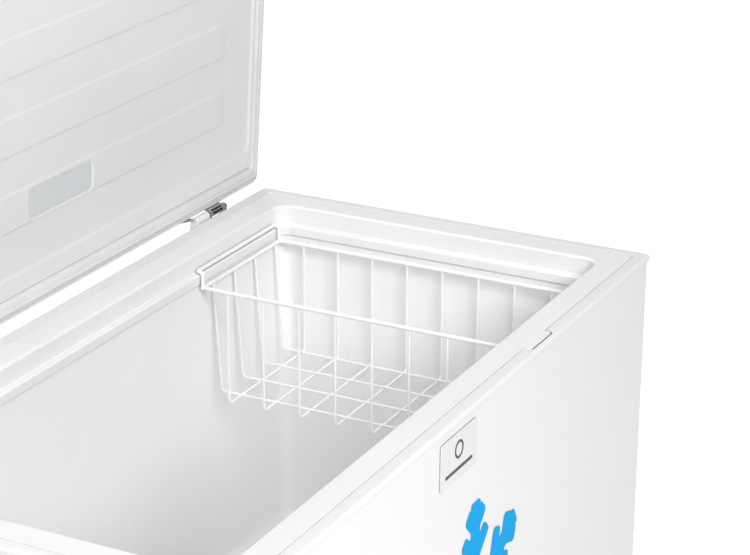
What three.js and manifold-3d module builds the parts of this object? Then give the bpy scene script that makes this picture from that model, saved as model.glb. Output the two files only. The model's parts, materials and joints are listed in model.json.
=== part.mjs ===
// Chest freezer, about 300 litres, standing on four casters with its lid open.
//
// Millimetres, +Z up, +X to the right end as seen from the front, +Y to the back.
// The cabinet is drawn with its middle at X = Y = 0 and the floor at Z = 0. The lid is drawn
// closed, in its own frame with the hinge axis at the origin, and then turned open. At the end
// the whole freezer is moved along Y so that the middle of its open footprint is the origin.

import * as THREE from 'three';
import { mergeVertices } from 'three/addons/utils/BufferGeometryUtils.js';
import Module from 'manifold-3d';

const wasm = await Module();
wasm.setup();

// ---------------------------------------------------------------- driving dimensions

const GAP = 0.4; // clearance between neighbouring pieces

const RIM_LENGTH = 1116; // over the rim cap, along X
const RIM_DEPTH = 605; // over the rim cap, along Y
const RIM_HEIGHT = 795; // floor to the top of the rim
const RIM_RADIUS = 7;
const SEAM_RADIUS = 6; // corners of the seam between cap and collar
const CAP_WIDTH = 18.5; // painted cap round the top of the cabinet
const CAP_LIP = 8; // how far the cap turns down outside the wrap
const RIM_SHEET = 2.4; // thickness of cap and collar
const SEAM = 0.6; // open seam between cap and collar
const WRAP_INSET = 3.5; // the cap overhangs the wrap by this much
const SHEET = 1.2; // outer steel
const BASE_HEIGHT = 46; // floor to the underside of the base pan

const OPENING = { length: 1004, depth: 491.5, y: -2.75, radius: 24 };
const LEDGE = 9; // basket ledge, inward from the opening
const LEDGE_DROP = 27; // rim to the top of the ledge
const COLLAR_DROP = 41; // rim to the lower edge of the collar

const LINER_SHEET = 1.6;
const TANK = { length: 994, depth: 481.5, radius: 19, floor: 108, top: 764.4 };
const STEP = { x: 262, top: 298 }; // step over the compressor bay, at the right end
const BAY = { x: 321.6, top: 237.8 }; // inner face of the bay's left wall and ceiling
const REAR_FLANGE = 20; // the side panels turn this far round the rear corners

const HINGE_AXIS = { y: 309.5, z: RIM_HEIGHT + 1 };
const HINGE_X = 431; // middle of each hinge bracket, from the middle of the cabinet
const LID_OPEN_DEG = 86.6;
const LID_BACK = -6; // lid's rear face, from the hinge axis
const LID_DEPTH = 609.5;
const LID_BOTTOM = 4.5; // lid's lower edge, from the hinge axis
const LID_THICKNESS = 47;

const LOCK_X = 204;
const LOCK_Z = 18; // lock axis above the hinge axis, lid closed
const CAM = { reach: 26, width: 14, thick: 0.8, y: 11.5 }; // y is from the lid's front face
const TAB = { length: 66, edge: -293.4, radius: 5 }; // collar tab in a notch of the front cap
const CAM_SLOT = 1.4; // the seam is this much wider in front of the tab, for the lock cam

const LAMP = { x: 47, width: 140, depth: 41, fromEdge: 141.5 };
const RIB = { first: 144.3, pitch: 98.5, width: 49.25, count: 4, length: 880, height: 1.2 };

const BASKET = { x0: 264, x1: 477, y: 231, top: 749, bottom: 586, taper: 11 };
const FRAME_WIRE = 2.9; // radius
const GRID_WIRE = 1.7; // radius

const CASTER = { x: 480, y: 230, radius: 20, width: 18, axle: 3 };
const CONTROL = { x: 440, z: 142, width: 150, height: 58 };
const DRAIN = { x: -440, y: -200, outletZ: 84 };
const COMPRESSOR = { x: 440, y: 150, radius: 74, height: 140 };
const GLAND = { x: 343, z: 84 }; // where a mains lead would enter

// ---------------------------------------------------------------- finishes

const finish = (color, roughness, metalness = 0) =>
  new THREE.MeshStandardMaterial({ color, roughness, metalness });

const WHITE_PAINT = finish(0xf4f4f3, 0.35);
const LINER_PAINT = finish(0xe8e8e8, 0.45);
const WHITE_PLASTIC = finish(0xf1f1f0, 0.4);
const GREY_PLASTIC = finish(0x8f9396, 0.5);
const BLACK_PLASTIC = finish(0x1c1d1f, 0.5);
const WIRE_COATING = finish(0xfafafa, 0.3);
const GASKET_VINYL = finish(0xececeb, 0.6);
const FOAM = finish(0xe8d9a8, 0.95);
const GALVANISED = finish(0xb5b8ba, 0.45, 0.9);
const BRIGHT_STEEL = finish(0xc9c9c6, 0.25, 1);
const BLACK_ENAMEL = finish(0x17181a, 0.35, 0.2);
const COPPER = finish(0xb8683c, 0.3, 1);
const LENS = finish(0xdadada, 0.35);
const LAMP_GLASS = finish(0xf6f2e4, 0.1);
const CYAN_FILM = finish(0x00aeef, 0.35);
const GREEN_LENS = finish(0x3fbf52, 0.25);
const AMBER_LENS = finish(0xe0912a, 0.25);
const RUBBER = finish(0x3a3b3d, 0.8);

// ---------------------------------------------------------------- shape helpers

const toSolid = (geometry) => {
  const bare = geometry.clone();
  for (const name of ['normal', 'uv']) {
    bare.deleteAttribute(name);
  }
  const merged = mergeVertices(bare, 1e-4);
  return new wasm.Manifold(new wasm.Mesh({
    numProp: 3,
    vertProperties: new Float32Array(merged.attributes.position.array),
    triVerts: new Uint32Array(merged.index.array),
  }));
};

const toGeometry = (solid) => {
  const mesh = solid.getMesh();
  const geometry = new THREE.BufferGeometry();
  geometry.setAttribute('position', new THREE.BufferAttribute(mesh.vertProperties, 3));
  geometry.setIndex(new THREE.BufferAttribute(mesh.triVerts, 1));
  geometry.computeVertexNormals();
  return geometry;
};

const join = (...pieces) =>
  toGeometry(pieces.map(toSolid).reduce((whole, piece) => whole.add(piece)));

const cut = (body, ...tools) =>
  toGeometry(tools.map(toSolid).reduce((rest, tool) => rest.subtract(tool), toSolid(body)));

const block = (x0, x1, y0, y1, z0, z1) =>
  new THREE.BoxGeometry(x1 - x0, y1 - y0, z1 - z0)
    .translate((x0 + x1) / 2, (y0 + y1) / 2, (z0 + z1) / 2);

const roundedRect = (target, length, depth, radius, x = 0, y = 0, alongFront = () => {}) => {
  const [left, right] = [x - length / 2, x + length / 2];
  const [front, back] = [y - depth / 2, y + depth / 2];
  target.moveTo(left + radius, front);
  alongFront(target, front);
  target.absarc(right - radius, front + radius, radius, -Math.PI / 2, 0, false);
  target.absarc(right - radius, back - radius, radius, 0, Math.PI / 2, false);
  target.absarc(left + radius, back - radius, radius, Math.PI / 2, Math.PI, false);
  target.absarc(left + radius, front + radius, radius, Math.PI, 1.5 * Math.PI, false);
  return target;
};

const polygon = (points) => new THREE.Shape(points.map(([x, y]) => new THREE.Vector2(x, y)));

const extrude = (shape, z0, z1, curveSegments = 3) =>
  new THREE.ExtrudeGeometry(shape, { depth: z1 - z0, bevelEnabled: false, curveSegments })
    .translate(0, 0, z0);

// A slab with vertical rounded corners.
const slab = ({ length, depth, radius, x = 0, y = 0 }, z0, z1) =>
  extrude(roundedRect(new THREE.Shape(), length, depth, radius, x, y), z0, z1);

// The outline grown outwards by d, or shrunk where d is negative.
const grown = (outline, d) => ({
  ...outline,
  length: outline.length + 2 * d,
  depth: outline.depth + 2 * d,
  radius: Math.max(outline.radius + d, 3),
});

// A flat ring between two outlines.
const ring = (outer, inner, z0, z1) => {
  const shape = roundedRect(
    new THREE.Shape(), outer.length, outer.depth, outer.radius, outer.x, outer.y);
  shape.holes.push(roundedRect(
    new THREE.Path(), inner.length, inner.depth, inner.radius, inner.x, inner.y));
  return extrude(shape, z0, z1);
};

// A shape drawn in the (Y, Z) plane and extruded from x0 to x1.
const extrudeAlongX = (shape, x0, x1, curveSegments) =>
  extrude(shape, x0, x1, curveSegments).applyMatrix4(
    new THREE.Matrix4().makeBasis(
      new THREE.Vector3(0, 1, 0), new THREE.Vector3(0, 0, 1), new THREE.Vector3(1, 0, 0)));

// A shape drawn in the (X, Z) plane and extruded from y0 to y1.
const extrudeAlongY = (shape, y0, y1, curveSegments) =>
  extrude(shape, -y1, -y0, curveSegments).applyMatrix4(
    new THREE.Matrix4().makeBasis(
      new THREE.Vector3(1, 0, 0), new THREE.Vector3(0, 0, 1), new THREE.Vector3(0, -1, 0)));

// A round bar along 'x', 'y' or 'z' from a to b; the other two coordinates are given in order.
const bar = (axis, radius, a, b, c1, c2, sides = 16) => {
  const rod = new THREE.CylinderGeometry(radius, radius, b - a, sides);
  const middle = (a + b) / 2;
  if (axis === 'x') {
    return rod.rotateZ(Math.PI / 2).translate(middle, c1, c2);
  }
  if (axis === 'y') {
    return rod.translate(c1, middle, c2);
  }
  return rod.rotateX(Math.PI / 2).translate(c1, c2, middle);
};

const circle = (target, radius, x = 0, y = 0) => target.absarc(x, y, radius, 0, 2 * Math.PI, false);

const vectors = (points) => points.map((p) => new THREE.Vector3(...p));

// Straight round rods from each point to the next, overlapping a little at the bends.
const rods = (points, radius, sides = 6) => {
  const places = vectors(points);
  return places.slice(1).map((end, i) => {
    const span = new THREE.Vector3().subVectors(end, places[i]);
    const turn = new THREE.Quaternion().setFromUnitVectors(
      new THREE.Vector3(0, 1, 0), span.clone().normalize());
    const middle = places[i].clone().add(end).multiplyScalar(0.5);
    const overlap = places.length > 2 ? radius * 0.8 : 0;
    return new THREE.CylinderGeometry(radius, radius, span.length() + overlap, sides)
      .applyQuaternion(turn)
      .translate(middle.x, middle.y, middle.z);
  });
};

// A round tube or rod that follows a smooth curve through the points.
const tubeAlong = (points, radius, { steps, bore = 0, tension = 0.5, segments = 4 }) => {
  const path = new THREE.CatmullRomCurve3(vectors(points), false, 'catmullrom', tension);
  const section = circle(new THREE.Shape(), radius);
  if (bore > 0) {
    section.holes.push(circle(new THREE.Path(), bore));
  }
  return new THREE.ExtrudeGeometry(
    section, { extrudePath: path, steps, curveSegments: segments });
};

const part = (name, geometry, material) => {
  const mesh = new THREE.Mesh(geometry, material);
  mesh.name = name;
  return mesh;
};

// ---------------------------------------------------------------- cabinet shells

const rimOutline = { length: RIM_LENGTH, depth: RIM_DEPTH, radius: RIM_RADIUS };
const wrapOutline = grown(rimOutline, -WRAP_INSET);
const wrapX = wrapOutline.length / 2;
const wrapY = wrapOutline.depth / 2;
const backFace = wrapY - SHEET - GAP; // the back panel sits inside the rear flanges
const capUnderside = RIM_HEIGHT - RIM_SHEET;
const tankOutline = { ...TANK, y: OPENING.y };
const tankOuter = grown(tankOutline, LINER_SHEET);

const seamOutline = { ...grown(rimOutline, -CAP_WIDTH), radius: SEAM_RADIUS };

// The tab's outline, with a gap all round and a further one in front.
const tabOutline = (gap, front) => ({
  length: TAB.length + 2 * gap,
  depth: 20,
  radius: TAB.radius + gap,
  x: LOCK_X,
  y: TAB.edge - front + 10,
});

function rimCap() {
  const lipInside = grown(rimOutline, -(WRAP_INSET - 1));
  const flange = ring(rimOutline, seamOutline, capUnderside, RIM_HEIGHT);
  const lip = ring(rimOutline, lipInside, RIM_HEIGHT - CAP_LIP, RIM_HEIGHT - 1);
  const notch = slab(tabOutline(SEAM, CAM_SLOT), capUnderside - 1, RIM_HEIGHT + 1);
  return cut(join(flange, lip), notch);
}

// The collar's flat top, with a tab standing out of its front edge.
function collarFlange() {
  const { length, depth, radius } = grown(seamOutline, -SEAM);
  const [left, right] = [LOCK_X - TAB.length / 2, LOCK_X + TAB.length / 2];
  const shape = roundedRect(new THREE.Shape(), length, depth, radius, 0, 0, (outline, front) => {
    const centre = TAB.edge + TAB.radius;
    outline.lineTo(left, front);
    outline.absarc(left + TAB.radius, centre, TAB.radius, Math.PI, 1.5 * Math.PI, false);
    outline.absarc(right - TAB.radius, centre, TAB.radius, -Math.PI / 2, 0, false);
    outline.lineTo(right, front);
  });
  const hole = new THREE.Path();
  shape.holes.push(roundedRect(hole, OPENING.length, OPENING.depth, OPENING.radius, 0, OPENING.y));
  return extrude(shape, capUnderside, RIM_HEIGHT);
}

function rimCollar() {
  const opening = OPENING;
  const ledgeEdge = grown(OPENING, -LEDGE);
  const ledgeTop = RIM_HEIGHT - LEDGE_DROP;
  const wall = ring(grown(opening, RIM_SHEET), opening, ledgeTop - RIM_SHEET, RIM_HEIGHT);
  const ledge = ring(grown(opening, RIM_SHEET), ledgeEdge, ledgeTop - RIM_SHEET, ledgeTop);
  const band = ring(grown(ledgeEdge, 2), ledgeEdge, RIM_HEIGHT - COLLAR_DROP, ledgeTop);
  return join(collarFlange(), wall, ledge, band);
}

// The bent outer steel, as one ring round the whole cabinet.
const outerSteel = () => ring(
  wrapOutline, grown(wrapOutline, -SHEET), BASE_HEIGHT, capUnderside - GAP);

const sideSeam = -wrapY + wrapOutline.radius + 4; // where the front panel's returns end

// The front face with a short return round each corner.
function frontPanel() {
  const controlHole = block(
    CONTROL.x - CONTROL.width / 2 + 10, CONTROL.x + CONTROL.width / 2 - 10,
    -wrapY - 5, -wrapY + 5, CONTROL.z - CONTROL.height / 2 + 8, CONTROL.z + CONTROL.height / 2 - 8);
  const drainHole = bar('y', 10, -wrapY - 5, -wrapY + 5, DRAIN.x, DRAIN.outletZ);
  const behind = block(-wrapX - 5, wrapX + 5, sideSeam, wrapY + 5, 0, RIM_HEIGHT);
  return cut(outerSteel(), behind, controlHole, drainHole);
}

// One end of the cabinet with a flange round the rear corner; side is -1 for the left end.
function sidePanel(side, ...openings) {
  const [x0, x1] = side < 0 ? [-wrapX + REAR_FLANGE, wrapX + 5] : [-wrapX - 5, wrapX - REAR_FLANGE];
  const rest = block(x0, x1, -wrapY - 5, wrapY + 5, 0, RIM_HEIGHT);
  const ahead = block(-wrapX - 5, wrapX + 5, -wrapY - 5, sideSeam + GAP, 0, RIM_HEIGHT);
  return cut(outerSteel(), rest, ahead, ...openings);
}

const ventHole = () => block(wrapX - 5, wrapX + 5, 75, 245, 100, 220);

function backPanel() {
  const halfLength = wrapX - 7;
  const sheet = block(
    -halfLength, halfLength, backFace - SHEET, backFace, BASE_HEIGHT + SHEET + GAP,
    capUnderside - GAP);
  const serviceHole = block(378, 519, wrapY - 8, wrapY + 5, 76, 224);
  const glandHole = bar('y', 7, wrapY - 8, wrapY + 5, GLAND.x, GLAND.z);
  return cut(sheet, serviceHole, glandHole);
}

// A folded tray that closes the underside.
function basePan() {
  const edge = grown(wrapOutline, -2 * (SHEET + GAP));
  const lipHeight = 14;
  const floor = slab(edge, BASE_HEIGHT, BASE_HEIGHT + SHEET);
  const lip = ring(edge, grown(edge, -SHEET), BASE_HEIGHT, BASE_HEIGHT + lipHeight);
  return join(floor, lip);
}

// A deep tub with a step at the right end and a drain hole in its floor.
function innerLiner() {
  const floorUnder = TANK.floor - LINER_SHEET;
  const farRight = tankOuter.length / 2 + 10;
  const outside = cut(
    slab(tankOuter, floorUnder, TANK.top),
    block(STEP.x + LINER_SHEET, farRight, -400, 400, 0, STEP.top - LINER_SHEET));
  const inside = cut(
    slab(tankOutline, TANK.floor, TANK.top + 10),
    block(STEP.x, farRight, -400, 400, 0, STEP.top));
  const drainHole = bar('z', 11, floorUnder - 5, TANK.floor + 5, DRAIN.x, DRAIN.y);
  return cut(outside, inside, drainHole);
}

// Rigid insulation between the outer steel and the liner, with room for what it buries.
function cabinetFoam() {
  const farRight = wrapX + 10;
  const body = slab(
    grown(wrapOutline, -3 * (SHEET + GAP)), BASE_HEIGHT + SHEET + GAP, capUnderside - GAP);
  const cavity = cut(
    slab(grown(tankOuter, GAP), TANK.floor - LINER_SHEET - GAP, RIM_HEIGHT + 10),
    block(STEP.x + LINER_SHEET + GAP, farRight, -400, 400, 0, STEP.top - LINER_SHEET - GAP));
  const collarRoom = slab(grown(OPENING, RIM_SHEET + GAP), TANK.top - 6, RIM_HEIGHT + 10);
  const evaporatorRoom = slab(grown(tankOuter, 12), 405, 715);
  const condenserRoom = block(-505, 505, -wrapY - 5, -wrapY + 14, 318, 722);
  const bay = block(BAY.x - SHEET - GAP, farRight, -400, 400, 0, BAY.top + SHEET + GAP);
  const camRoom = slab(tabOutline(3, CAM_SLOT + 10), 778, RIM_HEIGHT);
  const drainRoom = block(
    DRAIN.x - 12, DRAIN.x + 12, -400, DRAIN.y + 12, DRAIN.outletZ - 12, TANK.floor);
  return cut(
    body, cavity, collarRoom, evaporatorRoom, condenserRoom, bay, camRoom, drainRoom);
}

// ---------------------------------------------------------------- compressor bay

// A bent sheet that keeps the foam out of the bay: a wall and a ceiling.
function bayPartition() {
  const right = wrapX - SHEET - GAP - 2;
  const front = backFace - 2 * (SHEET + GAP) - 1;
  const wall = block(
    BAY.x - SHEET, BAY.x, -front, front, BASE_HEIGHT + SHEET + GAP, BAY.top + SHEET);
  const ceiling = block(BAY.x - SHEET, right, -front, front, BAY.top, BAY.top + SHEET);
  return join(wall, ceiling);
}

// A flat cover with rows of ventilation slots, lying flat with its middle at the origin.
function slottedPlate(width, height, thickness, rows, columns) {
  const [pitchX, pitchY] = [(width - 24) / columns, (height - 24) / rows];
  const slots = [];
  for (let row = 0; row < rows; row += 1) {
    for (let column = 0; column < columns; column += 1) {
      const x = (column - (columns - 1) / 2) * pitchX;
      const y = (row - (rows - 1) / 2) * pitchY;
      slots.push(block(x - pitchX / 2 + 5, x + pitchX / 2 - 5, y - 3, y + 3, -1, thickness + 1));
    }
  }
  return cut(slab({ length: width, depth: height, radius: 6 }, 0, thickness), ...slots);
}

const rearCover = () => slottedPlate(166, 168, SHEET, 7, 2)
  .rotateX(-Math.PI / 2)
  .translate(448.5, backFace + GAP, 150);

const sideVent = () => slottedPlate(190, 140, 2.2, 6, 2)
  .rotateX(Math.PI / 2)
  .rotateZ(Math.PI / 2)
  .translate(wrapX + GAP, 160, 160);

const shellBottom = BASE_HEIGHT + SHEET + 6;

function compressor() {
  const { x, y, radius, height } = COMPRESSOR;
  const r = radius;
  const profile = [
    [0, 0], [r * 0.62, 0], [r * 0.86, 8], [r * 0.97, 24], [r * 0.97, height * 0.5],
    [r, height * 0.5], [r, height * 0.56], [r * 0.97, height * 0.56], [r * 0.95, height * 0.78],
    [r * 0.8, height * 0.93], [r * 0.45, height], [0, height],
  ].map(([u, v]) => new THREE.Vector2(u, v));
  const pot = new THREE.LatheGeometry(profile, 20)
    .rotateX(Math.PI / 2)
    .translate(x, y, shellBottom + 4);
  const feet = slab({ length: 2 * r + 24, depth: 92, radius: 10, x, y }, shellBottom, shellBottom + 5);
  return join(pot, feet);
}

function compressorTray() {
  const { x, y } = COMPRESSOR;
  const bottom = BASE_HEIGHT + SHEET + GAP;
  const plate = slab({ length: 200, depth: 130, radius: 6, x, y }, bottom, bottom + 2);
  const posts = [-1, 1].flatMap((side) => [-1, 1].map((end) =>
    bar('z', 8, bottom + 1, shellBottom - GAP, x + side * 78, y + end * 34, 10)));
  return join(plate, ...posts);
}

function starterCover() {
  const { x, y, radius } = COMPRESSOR;
  const face = y - radius - GAP;
  return slab({ length: 58, depth: 34, radius: 5, x, y: face - 17 }, 104, 168);
}

function dischargeLine() {
  const { x, y, height } = COMPRESSOR;
  const top = shellBottom + 4 + height + GAP;
  return tubeAlong([
    [x - 20, y + 10, top], [x - 20, y + 10, top + 14], [x - 24, y - 10, top + 28],
    [x - 30, y - 160, top + 28], [x - 50, y - 300, top + 26], [BAY.x + 36, y - 334, top + 26],
    [BAY.x + GAP, y - 334, top + 26],
  ], 3, { steps: 22, segments: 3 });
}

function suctionLine() {
  const { x, y, height } = COMPRESSOR;
  const top = shellBottom + 4 + height + GAP;
  return tubeAlong([
    [x + 14, y - 16, top], [x + 14, y - 16, top + 10], [x + 6, y - 34, top + 18],
    [x - 50, y - 74, top + 14], [BAY.x + 30, y - 86, top + 10], [BAY.x + GAP, y - 86, top + 10],
  ], 4, { steps: 20, segments: 3 });
}

// The drier with its inlet tube and the start of the capillary.
function filterDrier() {
  const [x, y, z] = [372, -60, 150];
  const capsule = new THREE.LatheGeometry(
    [[0, -52], [3, -52], [3, -42], [10, -34], [10, 34], [3, 42], [3, 52], [0, 52]]
      .map(([u, v]) => new THREE.Vector2(u, v)), 12).rotateX(Math.PI / 2).translate(x, y, z);
  const inlet = bar('x', 2.6, BAY.x + GAP, x + 2.6, y, z + 49, 8);
  const outlet = bar('x', 1.6, BAY.x + GAP, x + 1.6, y, z - 49, 8);
  return join(capsule, inlet, outlet);
}

// A serpentine of tube behind the front panel.
function condenserCoil() {
  const [reach, corner, radius, bottom, pitch, runs] = [470, 12, 3, 340, 72, 6];
  const y = -wrapY + 7.5;
  const points = [];
  for (let run = 0; run < runs; run += 1) {
    const side = run % 2 === 0 ? 1 : -1;
    const z = bottom + run * pitch;
    points.push([-side * (reach - corner), y, z], [side * (reach - corner), y, z]);
    if (run < runs - 1) {
      points.push([side * reach, y, z + corner], [side * reach, y, z + pitch - corner]);
    }
  }
  return join(...rods(points, radius, 5));
}

// One long tube wound round the outside of the liner, with its corners cut off.
function evaporatorCoil() {
  const [turns, pitch, bottom, radius, corner] = [4, 70, 425, 3.5, 18];
  const path = grown(tankOuter, 6.5);
  const [halfX, halfY] = [path.length / 2, path.depth / 2];
  const corners = [
    [-halfX + corner, -halfY], [halfX - corner, -halfY], [halfX, -halfY + corner],
    [halfX, halfY - corner], [halfX - corner, halfY], [-halfX + corner, halfY],
    [-halfX, halfY - corner], [-halfX, -halfY + corner],
  ];
  const points = [];
  for (let turn = 0; turn < turns; turn += 1) {
    corners.forEach(([x, y], i) => {
      points.push([x, path.y + y, bottom + pitch * (turn + i / corners.length)]);
    });
  }
  return join(...rods(points, radius, 5));
}

function cordGland() {
  const { x, z } = GLAND;
  const flange = bar('y', 12, backFace + GAP, backFace + GAP + 3, x, z, 20);
  const neck = bar('y', 6.4, backFace - 8, backFace + GAP + 1, x, z, 20);
  const bore = bar('y', 4, wrapY - 20, wrapY + 20, x, z, 12);
  return cut(join(flange, neck), bore);
}

// ---------------------------------------------------------------- drain

const drainPipe = () => tubeAlong([
  [DRAIN.x, DRAIN.y, TANK.floor - 7], [DRAIN.x, DRAIN.y, DRAIN.outletZ + 8],
  [DRAIN.x, DRAIN.y - 8, DRAIN.outletZ], [DRAIN.x, -wrapY + SHEET + GAP, DRAIN.outletZ],
], 9, { steps: 12, bore: 6.5, tension: 0.3, segments: 5 });

// A stepped rubber stopper that pushes into a hole, drawn along +Z from its tip.
const stopper = (neckRadius, neck, headRadius, head) =>
  new THREE.LatheGeometry([
    [0, 0], [neckRadius - 1, 0], [neckRadius, 3], [neckRadius, neck], [headRadius, neck],
    [headRadius, neck + head - 1.5], [headRadius - 1.5, neck + head], [0, neck + head],
  ].map(([u, v]) => new THREE.Vector2(u, v)), 16).rotateX(Math.PI / 2);

const drainPlug = () =>
  stopper(10, 6, 17, 6).translate(DRAIN.x, DRAIN.y, TANK.floor - 6 + GAP);

const drainCap = () =>
  stopper(6, 12, 15, 7).rotateX(Math.PI / 2).translate(DRAIN.x, -wrapY + 12 - GAP, DRAIN.outletZ);

// ---------------------------------------------------------------- controls and markings

const controlFace = -wrapY - GAP - 3;

function controlBezel() {
  const { x, z, width, height } = CONTROL;
  const face = extrudeAlongY(
    roundedRect(new THREE.Shape(), width, height, 8, x, z), controlFace, -wrapY - GAP);
  const box = block(x - width / 2 + 12, x + width / 2 - 12, -wrapY - 1, -wrapY + 14,
    z - height / 2 + 10, z + height / 2 - 10);
  const shaftHole = bar('y', 4, -wrapY - 20, -wrapY + 30, x + 34, z);
  const lampHoles = [-46, -22].map((dx) => bar('y', 4.2, -wrapY - 20, -wrapY + 30, x + dx, z));
  return cut(join(face, box), shaftHole, ...lampHoles);
}

const indicator = (dx) =>
  new THREE.LatheGeometry(
    [[0, 0], [3.8, 0], [3.8, 12], [3, 14], [0, 14.8]].map(([u, v]) => new THREE.Vector2(u, v)), 14)
    .rotateX(Math.PI)
    .translate(CONTROL.x + dx, controlFace + 13, CONTROL.z);

function thermostat() {
  const { x, z } = CONTROL;
  const shaftX = x + 34;
  const box = block(shaftX - 22, shaftX + 22, -wrapY + 14.5, -wrapY + 44, z - 18, z + 18);
  const shaft = bar('y', 3, controlFace - 7, -wrapY + 16, shaftX, z, 12);
  return join(box, shaft);
}

function thermostatKnob() {
  const [x, z] = [CONTROL.x + 34, CONTROL.z];
  const [radius, depth] = [17, 11];
  const front = controlFace - 0.5 - depth;
  const body = bar('y', radius, front + 2, controlFace - 0.5, x, z, 28);
  const grip = block(x - 3.5, x + 3.5, front, front + 4, z - radius + 2, z + radius - 2);
  const bore = bar('y', 3.4, controlFace - 7.5, controlFace + 5, x, z, 12);
  return cut(join(body, grip), bore);
}

// A small plate with a plain raised ring and bar.
function nameBadge() {
  const [x, z, front] = [-46, RIM_HEIGHT - 50, -wrapY - GAP];
  const plate = extrudeAlongY(
    roundedRect(new THREE.Shape(), 98, 60, 5, x, z), front - 1, front);
  const hoop = circle(new THREE.Shape(), 10, x, z + 8);
  hoop.holes.push(circle(new THREE.Path(), 7, x, z + 8));
  const dash = roundedRect(new THREE.Shape(), 74, 4, 1.8, x, z - 16);
  return join(
    plate, extrudeAlongY(hoop, front - 1.5, front - 0.5, 10),
    extrudeAlongY(dash, front - 1.5, front - 0.5));
}

// A plain six-armed snow crystal cut from coloured film.
function frostDecal() {
  const [x, z, film] = [6, RIM_HEIGHT - 268, 0.6];
  const [reach, thick, hub] = [138, 19, 32];
  // A straight stroke that starts at the origin and runs up to a blunt tip.
  const stroke = (width, length) => extrudeAlongY(polygon([
    [-width / 2, 0], [width / 2, 0], [width / 2, length - width / 3], [width / 5, length],
    [-width / 5, length], [-width / 2, length - width / 3],
  ]), 0, film);
  const arm = [stroke(thick, reach)];
  for (const [height, length] of [[62, 44], [98, 34]]) {
    for (const side of [-1, 1]) {
      arm.push(stroke(thick * 0.78, length).rotateY(side * Math.PI / 4).translate(0, 0, height));
    }
  }
  const pieces = [extrudeAlongY(circle(new THREE.Shape(), hub), 0, film, 6)];
  for (let turn = 0; turn < 6; turn += 1) {
    pieces.push(...arm.map((piece) => piece.clone().rotateY(turn * Math.PI / 3)));
  }
  return join(...pieces).translate(x, -wrapY - GAP - film, z);
}

// ---------------------------------------------------------------- casters

function casterBracket() {
  const { radius, width, axle } = CASTER;
  const top = BASE_HEIGHT - GAP;
  const inner = width / 2 + 1;
  const plate = slab({ length: 62, depth: 46, radius: 5 }, top - 2, top);
  const cheek = polygon([[-22, top - 1], [22, top - 1], [9, radius - 8], [-9, radius - 8]]);
  const cheeks = [-1, 1].map((side) => {
    const [a, b] = side < 0 ? [-inner - 2, -inner] : [inner, inner + 2];
    return extrudeAlongY(cheek, a, b);
  });
  const pin = bar('y', axle, -inner - 3, inner + 3, 0, radius, 12);
  return join(plate, ...cheeks, pin);
}

// The tread has a flat underneath, so the wheel's lowest face is on the floor.
function casterWheel() {
  const { radius, width, axle } = CASTER;
  const sides = 18;
  const tread = radius / Math.cos(Math.PI / sides);
  const half = width / 2;
  const bore = axle + GAP;
  const profile = [
    [bore, -half], [tread * 0.5, -half], [tread * 0.56, -half + 2.5], [tread - 2, -half + 1],
    [tread, -half + 3], [tread, half - 3], [tread - 2, half - 1], [tread * 0.56, half - 2.5],
    [tread * 0.5, half], [bore, half], [bore, -half],
  ].map(([u, v]) => new THREE.Vector2(u, v));
  return new THREE.LatheGeometry(profile, sides).rotateY(Math.PI / sides).translate(0, 0, radius);
}

// ---------------------------------------------------------------- hinges, about their own axis

const BRACKET = { half: 21.6, sheet: 2.2, knuckle: 6, pin: 3, bore: 3.4 };
const SPRING_ROOM = { x0: -58, x1: -24 };

// A bent steel channel on the back panel; its two cheeks carry the pin.
function hingeBracket() {
  const { half, sheet, knuckle, bore } = BRACKET;
  const back = backFace + GAP - HINGE_AXIS.y;
  const lipClear = RIM_DEPTH / 2 + 1.1 - HINGE_AXIS.y;
  const lipBottom = -(CAP_LIP + 2);
  const plate = block(-half, half, back, back + 2, -108, lipBottom);
  const cheek = new THREE.Shape();
  cheek.moveTo(back, -104);
  cheek.lineTo(8, -84);
  cheek.lineTo(knuckle, 0);
  cheek.absarc(0, 0, knuckle, 0, Math.PI, false);
  cheek.lineTo(lipClear, lipBottom);
  cheek.lineTo(back, lipBottom);
  cheek.holes.push(circle(new THREE.Path(), bore));
  return join(
    plate, extrudeAlongX(cheek, -half, -half + sheet, 8), extrudeAlongX(cheek, half - sheet, half, 8));
}

function hingePin() {
  const { half, pin } = BRACKET;
  const rod = bar('x', pin, SPRING_ROOM.x0 + 2, half + 2, 0, 0, 16);
  const head = bar('x', pin + 2, half + GAP, half + 3, 0, 0, 16);
  return join(rod, head);
}

// A torsion spring wound round the pin.
function hingeSpring() {
  const [coils, wire, radius, stepsPerCoil] = [7, 0.75, 4.3, 9];
  const [start, end] = [SPRING_ROOM.x0 + 4, SPRING_ROOM.x1 - 3];
  const count = coils * stepsPerCoil;
  const points = Array.from({ length: count + 1 }, (_, step) => {
    const angle = 2 * Math.PI * step / stepsPerCoil;
    const x = start + (end - start) * step / count;
    return [x, radius * Math.cos(angle), radius * Math.sin(angle)];
  });
  return tubeAlong(points, wire, { steps: count, segments: 2 });
}

// The moulded block that covers the spring.
function springCover() {
  const front = RIM_DEPTH / 2 + 0.7 - HINGE_AXIS.y;
  const outer = new THREE.Shape();
  outer.moveTo(front, -14);
  outer.lineTo(8, -14);
  outer.lineTo(6.2, 0);
  outer.absarc(0, 0, 6.2, 0, Math.PI, false);
  outer.holes.push(circle(new THREE.Path(), 5.4));
  return extrudeAlongX(outer, SPRING_ROOM.x0, SPRING_ROOM.x1, 8);
}

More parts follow.
